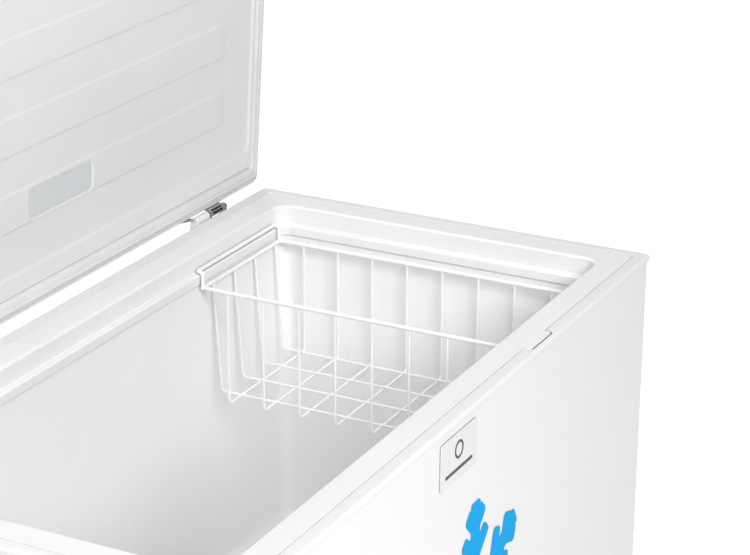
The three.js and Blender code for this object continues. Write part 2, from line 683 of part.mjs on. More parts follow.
// A stamped leaf on the lid's rear face, with the barrel that turns on the pin.
function hingeArm() {
  const { half, sheet, bore } = BRACKET;
  const inner = half - sheet - 0.5;
  const leafY = [LID_BACK + GAP, LID_BACK + 2];
  const leaf = polygon([
    [-84, 8], [-60, -4], [-60, 8.5], [-inner, 8.5], [-inner, 0], [inner, 0], [inner, 8.5],
    [half + 2, 10], [half + 2, 44], [-84, 44],
  ]);
  const barrel = circle(new THREE.Shape(), 5.4);
  const stamped = join(
    extrudeAlongY(leaf, ...leafY), extrudeAlongX(barrel, -inner, inner, 8));
  return cut(stamped, bar('x', bore, -inner - 1, inner + 1, 0, 0, 16));
}

// ---------------------------------------------------------------- lid, closed, about the hinge axis

const lidTop = LID_BOTTOM + LID_THICKNESS;
const lidFront = LID_BACK - LID_DEPTH;
const lidOutline = {
  length: RIM_LENGTH, depth: LID_DEPTH, radius: 12, y: LID_BACK - LID_DEPTH / 2,
};
const LIP = 4; // width of the shell's folded edge
const SEAL = { side: 6.6, back: 7.6, front: 17, width: 23.5, top: 10.5 };
const CREST = 0; // underside of the border ridge round the panel
const PANEL = 2; // underside of the flat panel
const BORDER = { side: 41, back: 60, front: 66 }; // panel edge, inward from the lid's edge

// An outline inside the lid's, from its distances to the ends, the back and the front.
const insideLid = ({ side, back, front }, radius) => {
  const depth = LID_DEPTH - back - front;
  return { length: RIM_LENGTH - 2 * side, depth, radius, y: LID_BACK - back - depth / 2 };
};

const inset = (e) => grown(lidOutline, -e);
const sealOuter = insideLid(SEAL, 9);
const sealInner = grown(sealOuter, -SEAL.width);
const panelOutline = insideLid(BORDER, 12);
const ribPlaces = Array.from({ length: RIB.count }, (_, i) => LID_BACK - RIB.first - i * RIB.pitch);
const lampOutline = {
  length: LAMP.width, depth: LAMP.depth, radius: 8, x: LAMP.x, y: LID_BACK - LAMP.fromEdge,
};

function lidShell() {
  const body = slab(lidOutline, LID_BOTTOM, lidTop);
  const hollow = slab(inset(SHEET), LID_BOTTOM + SHEET, lidTop - SHEET);
  const mouth = slab(inset(LIP), LID_BOTTOM - 1, LID_BOTTOM + SHEET + 1);
  const lockHole = bar('y', 9.9, lidFront - 5, lidFront + 5, LOCK_X, LOCK_Z, 20);
  return cut(body, hollow, mouth, lockHole);
}

// The moulded inner panel: flange, seal channel, border ridge and ribbed middle.
function lidLiner() {
  const t = LINER_SHEET;
  const { top } = SEAL;
  const pieces = [
    ring(inset(LIP + GAP), sealOuter, LID_BOTTOM, LID_BOTTOM + t),
    ring(grown(sealOuter, t), sealOuter, LID_BOTTOM, top + t),
    ring(grown(sealOuter, t), grown(sealInner, -t), top, top + t),
    ring(sealInner, grown(sealInner, -t), CREST, top + t),
    ring(sealInner, panelOutline, CREST, CREST + t),
    ring(grown(panelOutline, t), panelOutline, CREST, PANEL + t),
    slab(grown(panelOutline, t), PANEL, PANEL + t),
    ...ribPlaces.map((y) =>
      slab({ length: RIB.length, depth: RIB.width, radius: 6, y }, PANEL - RIB.height, PANEL + t)),
  ];
  const camSlot = block(
    LOCK_X - 28, LOCK_X + 28, lidFront + CAM.y - 1.2, lidFront + CAM.y + CAM.thick + 1.2,
    LID_BOTTOM - 1, LID_BOTTOM + 3);
  const lampHole = slab(lampOutline, PANEL - 5, PANEL + 5);
  return cut(join(...pieces), camSlot, lampHole);
}

function lidFoam() {
  const bottom = SEAL.top + LINER_SHEET + GAP;
  const upper = slab(inset(SHEET + GAP), bottom, lidTop - SHEET - GAP);
  const lower = slab(grown(panelOutline, -GAP), PANEL + LINER_SHEET + GAP, bottom + 1);
  const lampRoom = slab(grown(lampOutline, 2), PANEL, 30);
  const lockRoom = block(LOCK_X - 34, LOCK_X + 34, lidFront - 1, lidFront + 14, 0, 34);
  return cut(join(upper, lower), lampRoom, lockRoom);
}

function lidGasket() {
  const base = ring(
    grown(sealOuter, -GAP), grown(sealInner, GAP), LID_BOTTOM + 0.4, SEAL.top - GAP);
  const bulb = ring(grown(sealOuter, -3), grown(sealInner, 3), -0.6, LID_BOTTOM + 1);
  return join(base, bulb);
}

const lampLens = () => slab(grown(lampOutline, -GAP), PANEL, PANEL + 1.4);

const lampBulb = () =>
  new THREE.LatheGeometry(
    [[0, -38], [6, -36], [8, -30], [8, 20], [6, 24], [6, 38], [0, 38]]
      .map(([u, v]) => new THREE.Vector2(u, v)), 16)
    .rotateZ(Math.PI / 2)
    .translate(LAMP.x, lampOutline.y, 15);

// A hooked grip rail on the front face, open underneath for the fingers.
function lidHandle() {
  const face = lidFront - GAP;
  const profile = polygon([
    [face, 42], [face - 20, 38], [face - 22, 34], [face - 22, 12], [face - 20, 10],
    [face - 18, 12], [face - 18, 32], [face - 2.5, 35.5], [face - 2.5, 10], [face, 10],
  ]);
  const rail = extrudeAlongX(profile, -105, 105);
  const endCaps = [[-107, -103], [103, 107]].map(([x0, x1]) => extrudeAlongX(polygon([
    [face, 42], [face - 20, 38], [face - 22, 34], [face - 22, 12], [face - 20, 10], [face, 10],
  ]), x0, x1));
  return join(rail, ...endCaps);
}

function lockHousing() {
  const bezel = bar('y', 13, lidFront - 3, lidFront - GAP, LOCK_X, LOCK_Z, 24);
  const sleeve = bar('y', 9.4, lidFront - 2, lidFront + CAM.y - 1, LOCK_X, LOCK_Z, 24);
  const bore = bar('y', 6.6, lidFront - 9, lidFront + 20, LOCK_X, LOCK_Z, 20);
  return cut(join(bezel, sleeve), bore);
}

function lockBarrel() {
  const plug = bar('y', 6.2, lidFront - 3.6, lidFront + CAM.y - GAP, LOCK_X, LOCK_Z, 20);
  const keySlot = block(LOCK_X - 4, LOCK_X + 4, lidFront - 9, lidFront - 0.5, LOCK_Z - 0.9, LOCK_Z + 0.9);
  return cut(plug, keySlot);
}

// The flat tongue, pointing along +X while unlocked.
function lockCam() {
  const blade = roundedRect(
    new THREE.Shape(), CAM.reach + CAM.width / 2, CAM.width, 6,
    LOCK_X + (CAM.reach - CAM.width / 2) / 2, LOCK_Z);
  return extrudeAlongY(blade, lidFront + CAM.y, lidFront + CAM.y + CAM.thick);
}

// ---------------------------------------------------------------- basket

function basket() {
  const { x0, x1, y, top, bottom, taper } = BASKET;
  const pieces = [
    bar('x', FRAME_WIRE, x0 - 2, x1 + 2, -y, top, 8), bar('x', FRAME_WIRE, x0 - 2, x1 + 2, y, top, 8),
    bar('y', FRAME_WIRE, -y - 2, y + 2, x0, top, 8), bar('y', FRAME_WIRE, -y - 2, y + 2, x1, top, 8),
  ];
  const crossWires = 8;
  const crossPitch = 54.8;
  for (let i = 0; i < crossWires; i += 1) {
    const place = (i - (crossWires - 1) / 2) * crossPitch;
    pieces.push(...rods([
      [x0, place, top], [x0, place, bottom], [x1, place, bottom], [x1, place, top],
    ], GRID_WIRE));
  }
  for (const fromNear of [28, 85.3, 142.6, 200]) {
    const x = x0 + fromNear;
    const low = bottom + 1.5 * GRID_WIRE;
    pieces.push(...rods([
      [x, -y, top], [x, -y + taper, low], [x, y - taper, low], [x, y, top],
    ], GRID_WIRE));
  }
  const hook = RIM_HEIGHT - LEDGE_DROP + FRAME_WIRE + GAP;
  for (const side of [-1, 1]) {
    const wall = OPENING.y + side * (OPENING.depth / 2 - 0.6) - side * FRAME_WIRE;
    for (const x of [x0, x1]) {
      pieces.push(bar('z', FRAME_WIRE, top, hook + FRAME_WIRE, x, side * y, 8));
      const [a, b] = [side * y, wall].sort((p, q) => p - q);
      pieces.push(bar('y', FRAME_WIRE, a - 1, b + 1, x, hook, 8));
    }
    pieces.push(bar('x', FRAME_WIRE, x0, x1, wall, hook, 8));
  }
  return join(...pieces);
}

// ---------------------------------------------------------------- assembly

const freezer = new THREE.Group();

freezer.add(
  part('front_panel', frontPanel(), WHITE_PAINT),
  part('side_panel_left', sidePanel(-1), WHITE_PAINT),
  part('side_panel_right', sidePanel(1, ventHole()), WHITE_PAINT),
  part('back_panel', backPanel(), WHITE_PAINT),
  part('base_pan', basePan(), GALVANISED),
  part('cabinet_foam', cabinetFoam(), FOAM),
  part('inner_liner', innerLiner(), LINER_PAINT),
  part('rim_cap', rimCap(), WHITE_PAINT),
  part('rim_collar', rimCollar(), WHITE_PLASTIC),
  part('bay_partition', bayPartition(), GALVANISED),
  part('rear_cover', rearCover(), GALVANISED),
  part('side_vent', sideVent(), WHITE_PLASTIC),
  part('compressor', compressor(), BLACK_ENAMEL),
  part('compressor_tray', compressorTray(), GALVANISED),
  part('starter_cover', starterCover(), BLACK_PLASTIC),
  part('discharge_line', dischargeLine(), COPPER),
  part('suction_line', suctionLine(), COPPER),
  part('filter_drier', filterDrier(), COPPER),
  part('condenser_coil', condenserCoil(), COPPER),
  part('evaporator_coil', evaporatorCoil(), COPPER),
  part('cord_gland', cordGland(), BLACK_PLASTIC),
  part('drain_pipe', drainPipe(), GREY_PLASTIC),
  part('drain_plug', drainPlug(), RUBBER),
  part('drain_cap', drainCap(), GREY_PLASTIC),
  part('control_bezel', controlBezel(), GREY_PLASTIC),
  part('power_lamp', indicator(-46), GREEN_LENS),
  part('run_lamp', indicator(-22), AMBER_LENS),
  part('thermostat', thermostat(), BLACK_PLASTIC),
  part('thermostat_knob', thermostatKnob(), WHITE_PLASTIC),
  part('name_badge', nameBadge(), LENS),
  part('frost_decal', frostDecal(), CYAN_FILM),
  part('basket', basket(), WIRE_COATING),
);

for (const [end, x] of [['left', -CASTER.x], ['right', CASTER.x]]) {
  for (const [side, y] of [['front', -CASTER.y], ['rear', CASTER.y]]) {
    const bracket = part(`caster_bracket_${side}_${end}`, casterBracket(), GALVANISED);
    const wheel = part(`caster_wheel_${side}_${end}`, casterWheel(), BLACK_PLASTIC);
    bracket.position.set(x, y, 0);
    wheel.position.set(x, y, 0);
    freezer.add(bracket, wheel);
  }
}

const lid = new THREE.Group();
lid.position.set(0, HINGE_AXIS.y, HINGE_AXIS.z);
lid.rotation.x = -THREE.MathUtils.degToRad(LID_OPEN_DEG);
lid.add(
  part('lid_shell', lidShell(), WHITE_PAINT),
  part('lid_foam', lidFoam(), FOAM),
  part('lid_liner', lidLiner(), LINER_PAINT),
  part('lid_gasket', lidGasket(), GASKET_VINYL),
  part('lamp_lens', lampLens(), LENS),
  part('lamp_bulb', lampBulb(), LAMP_GLASS),
  part('lid_handle', lidHandle(), WHITE_PLASTIC),
  part('lock_housing', lockHousing(), BRIGHT_STEEL),
  part('lock_barrel', lockBarrel(), BRIGHT_STEEL),
  part('lock_cam', lockCam(), BRIGHT_STEEL),
);

// The left hinge is the right one mirrored.
for (const [end, side] of [['left', -1], ['right', 1]]) {
  const hinge = new THREE.Group();
  hinge.position.set(side * HINGE_X, HINGE_AXIS.y, HINGE_AXIS.z);
  hinge.scale.x = side;
  hinge.add(
    part(`hinge_bracket_${end}`, hingeBracket(), BRIGHT_STEEL),
    part(`hinge_pin_${end}`, hingePin(), BRIGHT_STEEL),
    part(`hinge_spring_${end}`, hingeSpring(), BRIGHT_STEEL),
    part(`spring_cover_${end}`, springCover(), WHITE_PLASTIC),
  );
  const arm = part(`hinge_arm_${end}`, hingeArm(), BRIGHT_STEEL);
  arm.position.x = side * HINGE_X;
  arm.scale.x = side;
  freezer.add(hinge);
  lid.add(arm);
}

freezer.add(lid);

const footprint = new THREE.Box3().setFromObject(freezer);
freezer.position.y = -(footprint.min.y + footprint.max.y) / 2;

export default freezer;
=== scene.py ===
"""The finished look of the chest freezer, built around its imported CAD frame.

Blender objects are in metres in the frame's own axes. Shapes are drawn in millimetres, either in
the cabinet's frame (CABINET: its middle at X = Y = 0, the floor at Z = 0) or in the closed lid's
frame (LID: the hinge axis at the origin), and are put in place as they are made.
"""

import json
from math import copysign, cos, hypot, pi, radians, sin, sqrt, tan

import bmesh
import bpy
from mathutils import Matrix, Vector


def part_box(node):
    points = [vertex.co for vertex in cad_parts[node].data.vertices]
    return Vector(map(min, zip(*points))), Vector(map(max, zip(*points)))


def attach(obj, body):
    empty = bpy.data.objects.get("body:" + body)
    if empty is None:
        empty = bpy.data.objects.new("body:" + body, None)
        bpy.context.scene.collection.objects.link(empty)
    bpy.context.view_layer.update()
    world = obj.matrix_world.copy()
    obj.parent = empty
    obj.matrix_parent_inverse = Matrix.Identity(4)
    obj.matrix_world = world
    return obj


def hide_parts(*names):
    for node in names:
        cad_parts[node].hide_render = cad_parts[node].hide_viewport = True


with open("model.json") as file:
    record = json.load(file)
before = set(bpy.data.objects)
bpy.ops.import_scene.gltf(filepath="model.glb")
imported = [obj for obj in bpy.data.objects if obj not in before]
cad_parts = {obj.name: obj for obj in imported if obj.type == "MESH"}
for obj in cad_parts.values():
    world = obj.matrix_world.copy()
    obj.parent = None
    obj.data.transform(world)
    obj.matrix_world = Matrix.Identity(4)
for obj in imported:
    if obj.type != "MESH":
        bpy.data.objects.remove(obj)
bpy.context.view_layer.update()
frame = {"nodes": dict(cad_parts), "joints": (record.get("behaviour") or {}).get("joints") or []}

# ------ frames and driving sizes

MM = 0.001
TO_METRES = Matrix.Diagonal((MM, MM, MM, 1))

cap_low, cap_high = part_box("rim_cap")
RIM_TOP = cap_high.z / MM
RIM_X = cap_high.x / MM
RIM_Y = (cap_high.y - cap_low.y) / 2 / MM
CABINET = Matrix.Translation((0, (cap_low.y + cap_high.y) / 2, 0)) @ TO_METRES

hinge = next(j for j in frame["joints"] if j["name"] == "lid_hinge")
LID_OPEN = radians(hinge["range_deg"][1])
LID = Matrix.Translation(hinge["pos_m"]) @ Matrix.Rotation(-LID_OPEN, 4, "X") @ TO_METRES

CAP_WIDTH = 18.5  # outer edge of the rim to the seam
SEAM = 0.6
RIM_SHEET = 2.4
CAP_LIP = 8
OPENING = {"x": 502, "y": 245.75, "cy": -2.75, "radius": 24}
LEDGE = 9  # width of the ledge that the basket hangs on
LEDGE_DROP = 27  # from the rim down to the ledge
COLLAR_DROP = 41
TAB = {"x": 204, "half": 33, "edge": -293.4, "radius": 5}
CAM_SLOT = 1.4  # gap in front of the tab that takes the lock's cam
CAM_ROOM = {"half": 28, "e": (10.3, 13.5)}  # the cam's opening in the lid's inner panel
CAM_X = (TAB["x"] - CAM_ROOM["half"], TAB["x"] + CAM_ROOM["half"])

TANK = {"x": 497, "y": 240.75, "cy": -2.75, "radius": 19, "floor": 108, "top": 764.4}
TANK_STEP = {"x": 262, "top": 298, "edge": 2.5}
TANK_SHEET = 1.6

LID_X = RIM_X
LID_BACK = -6
LID_DEPTH = 609.5
LID_BOTTOM = 4.5
LID_TOP = 51.5
SEAL = {"side": 6.6, "back": 7.6, "front": 17}
SEAL_WIDTH = 23.5
SEAL_TOP = 10.5
PANEL = {"side": 41, "back": 60, "front": 66}
PANEL_Z = 2
APRON = 14  # from the panel's border to its field
CLOSEST = 0.45  # between two grid lines of the field
RIB = {"first": 144.3, "pitch": 98.5, "width": 49.25, "count": 4, "half": 440, "height": 1.2}
LAMP = {"x": 47, "half_x": 70, "half_y": 20.5, "y": -147.5, "radius": 8, "dip": 0.5}

BASKET = {"x0": 264, "x1": 477, "y": 231, "top": 749, "bottom": 586, "taper": 11}
FRAME_WIRE = 2.9
GRID_WIRE = 1.7

FRONT = -(RIM_Y - 3.5)  # the front panel's face

# ------ materials


def shader_of(material):
    return material.node_tree.nodes["Principled BSDF"]


def plain_material(name, color, roughness, metallic=0.0, **sockets):
    """A Principled material; sockets are further inputs, with _ for a space."""
    material = bpy.data.materials.new(name)
    material.use_nodes = True
    shader = shader_of(material)
    shader.inputs["Base Color"].default_value = (*color, 1)
    shader.inputs["Roughness"].default_value = roughness
    shader.inputs["Metallic"].default_value = metallic
    for key, value in sockets.items():
        shader.inputs[key.replace("_", " ")].default_value = value
    return material


def texture(material, kind, **settings):
    """A texture node fed with the piece's own coordinates."""
    tree = material.node_tree
    place = tree.nodes.get("place") or tree.nodes.new("ShaderNodeTexCoord")
    place.name = "place"
    node = tree.nodes.new(kind)
    for key, value in settings.items():
        node.inputs[key.replace("_", " ")].default_value = value
    tree.links.new(place.outputs["Object"], node.inputs["Vector"])
    return node


def noise(material, scale, detail, **settings):
    return texture(material, "ShaderNodeTexNoise", Scale=scale, Detail=detail, **settings)


def cells(material, scale):
    return texture(material, "ShaderNodeTexVoronoi", Scale=scale)


def stretch(material, node, factors):
    """Feeds the node coordinates that are scaled differently along each axis."""
    tree = material.node_tree
    mapping = tree.nodes.new("ShaderNodeMapping")
    mapping.inputs["Scale"].default_value = factors
    tree.links.new(tree.nodes["place"].outputs["Object"], mapping.inputs["Vector"])
    tree.links.new(mapping.outputs["Vector"], node.inputs["Vector"])


def output_of(node):
    """The texture's grey output: a noise's factor or a Voronoi's distance."""
    return node.outputs.get("Fac") or node.outputs["Distance"]


def mapped(tree, value, start, end, low, high):
    """A socket's value mapped from start..end to low..high."""
    ramp = tree.nodes.new("ShaderNodeMapRange")
    for key, number in (("From Min", start), ("From Max", end), ("To Min", low), ("To Max", high)):
        ramp.inputs[key].default_value = number
    tree.links.new(value, ramp.inputs["Value"])
    return ramp.outputs["Result"]


def blend_base(material, other, factor):
    """Blends the present base colour towards another one."""
    tree = material.node_tree
    mix = tree.nodes.new("ShaderNodeMix")
    mix.data_type = "RGBA"
    base = shader_of(material).inputs["Base Color"]
    if base.is_linked:
        tree.links.new(base.links[0].from_socket, mix.inputs["A"])
    else:
        mix.inputs["A"].default_value = base.default_value
    mix.inputs["B"].default_value = (*other, 1)
    tree.links.new(factor, mix.inputs["Factor"])
    tree.links.new(mix.outputs["Result"], base)


def vary_color(material, node, other, low=0.0, high=1.0, start=0.3, end=0.7):
    """Blends the base colour towards another one by the texture."""
    factor = mapped(material.node_tree, output_of(node), start, end, low, high)
    blend_base(material, other, factor)


def vary_roughness(material, node, low, high):
    tree = material.node_tree
    value = mapped(tree, output_of(node), 0.1, 0.9, low, high)
    tree.links.new(value, shader_of(material).inputs["Roughness"])


def add_bump(material, node, strength, depth_mm):
    """Adds relief; several calls build on each other."""
    tree, shader = material.node_tree, shader_of(material)
    bump = tree.nodes.new("ShaderNodeBump")
    bump.inputs["Strength"].default_value = strength
    bump.inputs["Distance"].default_value = depth_mm * MM
    tree.links.new(output_of(node), bump.inputs["Height"])
    normal = shader.inputs["Normal"]
    if normal.is_linked:
        tree.links.new(normal.links[0].from_socket, bump.inputs["Normal"])
    tree.links.new(bump.outputs["Normal"], normal)


def shade_creases(material, tint, amount, reach_mm=12, start=1.0):
    """Greys the creases with painted shade, darker where the surface is more enclosed."""
    tree = material.node_tree
    crease_shade = tree.nodes.new("ShaderNodeAmbientOcclusion")
    crease_shade.inputs["Distance"].default_value = reach_mm * MM
    crease_shade.samples = 4
    blend_base(material, tint, mapped(tree, crease_shade.outputs["AO"], start, 0.2, 0.0, amount))


def grey(value, warm=0.0):
    return (value * (1 + warm), value, value * (1 - warm))


def painted_steel(name, value, roughness, coat=0.25, crease_shade=0.9):
    """Sprayed enamel: an even colour, faint orange peel and slightly uneven gloss."""
    material = plain_material(name, grey(value), roughness, Coat_Weight=coat, Coat_Roughness=0.12)
    cloud = noise(material, 2.3, 3.0)
    vary_color(material, cloud, grey(value * 0.965, 0.004))
    gloss = noise(material, 9.0, 4.0)
    vary_roughness(material, gloss, roughness * 0.88, roughness * 1.15)
    peel = noise(material, 420.0, 1.5)
    add_bump(material, peel, 0.12, 0.12)
    # painted shade: the enamel's creases, and the line under the rim cap's lip, are greyed
    shade_creases(material, grey(value * 0.25, 0.01), crease_shade, 7, 0.8)
    return material


def moulded_plastic(name, color, roughness, grain=0.2, **sockets):
    """Injection-moulded or vacuum-formed sheet with a fine sparked grain."""
    material = plain_material(name, color, roughness, **sockets)
    flow = noise(material, 5.0, 2.0, Distortion=0.6)
    vary_color(material, flow, [c * 0.96 for c in color])
    vary_roughness(material, flow, roughness * 0.9, roughness * 1.12)
    sparks = noise(material, 900.0, 2.0)
    add_bump(material, sparks, grain, 0.06)
    # painted shade: the plastic's creases are greyed
    shade_creases(material, [c * 0.68 for c in color], 0.35, 9)
    return material


def bare_metal(name, color, roughness, stain, brushing=(30, 900, 900)):
    """Drawn or stamped metal: fine lines along one axis and a few dull stains."""
    material = plain_material(name, color, roughness, 1.0)
    lines = noise(material, 1.0, 3.0)
    stretch(material, lines, brushing)
    add_bump(material, lines, 0.25, 0.05)
    stains = noise(material, 90.0, 5.0)
    vary_color(material, stains, stain, 0.0, 0.7, 0.45, 0.75)
    vary_roughness(material, stains, roughness * 0.8, min(1.0, roughness * 1.6))
    return material


def galvanised_sheet():
    """Hot-dip zinc with its crystal spangle."""
    material = plain_material("galvanised_sheet", (0.56, 0.58, 0.6), 0.42, 0.9)
    spangle = cells(material, 85.0)
    vary_color(material, spangle, (0.4, 0.42, 0.44), 0.0, 0.8, 0.1, 0.7)
    vary_roughness(material, spangle, 0.3, 0.55)
    add_bump(material, spangle, 0.1, 0.08)
    return material


def expanded_foam():
    """Cut polyurethane foam with open cells."""
    material = plain_material("expanded_foam", (0.82, 0.7, 0.42), 0.95)
    bubbles = cells(material, 260.0)
    vary_color(material, bubbles, (0.7, 0.56, 0.3))
    add_bump(material, bubbles, 0.6, 0.8)
    return material


def gasket_vinyl():
    """Soft magnetic seal: matt, with fine extrusion lines and painted shade in its folds."""
    material = plain_material("gasket_vinyl", grey(0.8), 0.55, Sheen_Weight=0.15)
    cloud = noise(material, 14.0, 4.0)
    vary_color(material, cloud, grey(0.73, 0.01))
    skin = noise(material, 650.0, 2.0)
    add_bump(material, skin, 0.15, 0.06)
    # painted shade: the seal's folds are greyed
    shade_creases(material, grey(0.5, 0.02), 0.4, 5)
    return material


def dipped_wire():
    """Vinyl-dipped steel wire: glossy and slightly uneven in thickness."""
    material = plain_material("dipped_wire", grey(0.93), 0.3, Coat_Weight=0.3, Coat_Roughness=0.15)
    runs = noise(material, 60.0, 2.0)
    vary_color(material, runs, grey(0.88))
    vary_roughness(material, runs, 0.24, 0.4)
    drips = noise(material, 240.0, 2.0)
    add_bump(material, drips, 0.25, 0.2)
    return material


def coloured_film():
    """Cut vinyl film, with faint banding from the printer and a soft satin skin."""
    material = plain_material(
        "coloured_film", (0.0, 0.38, 0.82), 0.55, Specular_IOR_Level=0.1)
    bands = noise(material, 1.0, 1.0)
    stretch(material, bands, (4, 4, 140))
    vary_color(material, bands, (0.0, 0.36, 0.79))
    skin = noise(material, 500.0, 1.0)
    add_bump(material, skin, 0.08, 0.05)
    return material


def tinted_lens(name, color, glow):
    """A small indicator window with a diamond pattern behind it."""
    material = plain_material(
        name, color, 0.18, Transmission_Weight=0.25, Coat_Weight=0.6, Emission_Strength=glow)
    shader_of(material).inputs["Emission Color"].default_value = (*color, 1)
    facets = cells(material, 700.0)
    add_bump(material, facets, 0.35, 0.2)
    vary_color(material, facets, [c * 0.6 for c in color], 0.0, 0.6)
    return material


def frosted(name, value, roughness, transmission):
    """A milky diffuser with a fine stipple."""
    material = plain_material(
        name, grey(value), roughness, Transmission_Weight=transmission, Subsurface_Weight=0.1,
        Specular_IOR_Level=0.2)
    stipple = cells(material, 480.0)
    vary_color(material, stipple, grey(value * 0.97))
    add_bump(material, stipple, 0.08, 0.05)
    return material


PAINT = painted_steel("cabinet_enamel", 0.86, 0.3)
CAP_PAINT = painted_steel("cap_enamel", 0.86, 0.34)
LINING = painted_steel("tank_enamel", 0.9, 0.42, 0.1, 0.2)
COLLAR = moulded_plastic("collar_plastic", grey(0.86), 0.4)
# painted shade, stronger on the collar: its narrow creases and seams are greyed dark
shade_creases(COLLAR, grey(0.35, 0.01), 0.8, 3, 0.8)
LID_LINING = moulded_plastic("lid_lining_plastic", grey(0.8), 0.4, 0.15)
WHITE = moulded_plastic("white_plastic", grey(0.84), 0.38)
GREY_PLASTIC = moulded_plastic("grey_plastic", (0.27, 0.29, 0.31), 0.5, 0.4)
BLACK_PLASTIC = moulded_plastic("black_plastic", (0.02, 0.02, 0.022), 0.5, 0.4)
RUBBER = moulded_plastic("dark_rubber", (0.045, 0.045, 0.048), 0.8, 0.6)
STEEL = bare_metal("zinc_plated_steel", (0.74, 0.73, 0.7), 0.36, (0.5, 0.49, 0.46))
# near-black pin steel: painted shade seen through the hinge knuckle's windows
PIN_SHADE_STEEL = bare_metal("pin_steel_dark_as_shade", (0.06, 0.06, 0.06), 0.4, (0.02, 0.02, 0.02))
# near black: painted shade on the inside of the hinge knuckle
KNUCKLE_SHADE = moulded_plastic("knuckle_shade_paint", grey(0.012), 0.6, 0.3)
SPRING_WIRE = bare_metal("spring_wire", (0.45, 0.44, 0.42), 0.35, (0.2, 0.19, 0.18))
PLATE = painted_steel("badge_enamel", 0.8, 0.35, 0.5)
COPPER = bare_metal("copper_tube", (0.72, 0.36, 0.2), 0.32, (0.34, 0.17, 0.1), (900, 900, 40))
ENAMEL = painted_steel("compressor_enamel", 0.015, 0.35, 0.4)
ZINC = galvanised_sheet()
FOAM = expanded_foam()
VINYL = gasket_vinyl()
WIRE = dipped_wire()
FILM = coloured_film()
GREEN = tinted_lens("green_lens", (0.04, 0.55, 0.08), 0.4)
AMBER = tinted_lens("amber_lens", (0.85, 0.3, 0.02), 0.4)
DIFFUSER = frosted("lamp_diffuser", 0.72, 0.5, 0.0)
BULB = frosted("bulb_glass", 0.92, 0.2, 0.5)
INK = moulded_plastic("badge_ink", grey(0.09), 0.45, 0.1)

# ------ shape helpers


def smoothstep(t):
    t = max(0.0, min(1.0, t))
    return t * t * (3 - 2 * t)


def arc(start, end, steps):
    """Angles in radians from start to end in degrees, both included."""
    return [radians(start + (end - start) * i / steps) for i in range(steps + 1)]


def full_turn(steps):
    """Angles in radians of so many even steps round a circle."""
    return arc(0, 360 * (1 - 1 / steps), steps - 1)


def ring(x, y, radius, z, cy=0.0, cx=0.0, front=None, xs=(), ys=(), steps=8):
    """Points round a rectangle of half sizes x and y, seen from above, anticlockwise from its
    front left corner. front holds points to follow along the front edge; xs and ys are further
    places along the long and the short edges."""
    inner_x, inner_y = x - radius, y - radius
    points = []

    def corner(sx, sy, start):
        for a in arc(start, start + 90, steps):
            points.append((cx + sx * inner_x + radius * cos(a),
                           cy + sy * inner_y + radius * sin(a), z))

    corner(-1, -1, 180)
    points.extend((u, v, z) for u, v in front or [(u, cy - y) for u in xs])
    corner(1, -1, 270)
    points.extend((cx + x, v, z) for v in ys)
    corner(1, 1, 0)
    points.extend((u, cy + y, z) for u in reversed(xs))
    corner(-1, 1, 90)
    points.extend((cx - x, v, z) for v in reversed(ys))
    return points


def loft(rings, closed=False, start_cap=False, end_cap=False):
    """Skins a list of rings that all have the same number of points."""
    count = len(rings[0])
    verts = [point for one in rings for point in one]
    faces = []
    for r in range(len(rings) if closed else len(rings) - 1):
        a, b = r * count, (r + 1) % len(rings) * count
        for i in range(count):
            j = (i + 1) % count
            faces.append((a + i, a + j, b + j, b + i))
    if start_cap:
        faces.append(tuple(range(count)))
    if end_cap:
        faces.append(tuple(range(len(verts) - count, len(verts))))
    return verts, faces


def lathe(profile, steps=48):
    """Turns (radius, height) points round +Z. A radius of 0 at either end closes the shape."""
    rings = [[(r * cos(a), r * sin(a), h) for a in full_turn(steps)] for r, h in profile]
    return loft(rings, closed=profile[0][0] > 0)


def screw_head(radius=3.4, height=1.5):
    """A small pan head with a recess, standing on Z = 0."""
    return lathe([(0, 0.35), (radius * 0.3, 0.35), (radius * 0.36, height),
                  (radius * 0.68, height * 0.9), (radius * 0.94, height * 0.45), (radius, 0),
                  (0, -0.2)], 20)


def rounded_path(points, bend, closed=False, steps=6):
    """The path with each of its corners turned into an arc."""
    places = [Vector(p) for p in points]
    last = len(places) - 1
    result = []
    for i, here in enumerate(places):
        if not closed and i in (0, last):
            result.append(here)
            continue
        before, after = places[i - 1] - here, places[(i + 1) % len(places)] - here
        half = before.angle(after) / 2
        reach = min(bend / tan(half), 0.49 * before.length, 0.49 * after.length)
        radius = reach * tan(half)
        before.normalize()
        after.normalize()
        centre = here + (before + after).normalized() * (radius / sin(half))
        first = (here + before * reach - centre).normalized()
        second = (here + after * reach - centre).normalized()
        result.extend(centre + first.slerp(second, k / steps) * radius for k in range(steps + 1))
    return result


def tube(path, radius, sides=12, closed=False):
    """A round wire along the path, with domed ends if it is open."""
    path = [Vector(p) for p in path]
    count = len(path)
    tangents = []
    for i in range(count):
        ahead = path[(i + 1) % count] if closed or i < count - 1 else path[i]
        behind = path[i - 1] if closed or i > 0 else path[i]
        tangents.append((ahead - behind).normalized())
    normal = tangents[0].orthogonal().normalized()
    stations = []
    for i in range(count):
        if i:
            normal = tangents[i - 1].rotation_difference(tangents[i]) @ normal
        stations.append((path[i], tangents[i], normal, 1.0))
    if not closed:
        ends = [(sin(a), cos(a)) for a in arc(0, 84, 3)[1:]]
        start, finish = stations[0], stations[-1]
        stations[:0] = [(start[0] - start[1] * radius * s * 0.6, start[1], start[2], c)
                        for s, c in reversed(ends)]
        stations.extend((finish[0] + finish[1] * radius * s * 0.6, finish[1], finish[2], c)
                        for s, c in ends)
    rings = []
    for place, tangent, side, size in stations:
        other = tangent.cross(side)
        rings.append([place + (side * cos(a) + other * sin(a)) * radius * size
                      for a in full_turn(sides)])
    return loft(rings, closed, not closed, not closed)


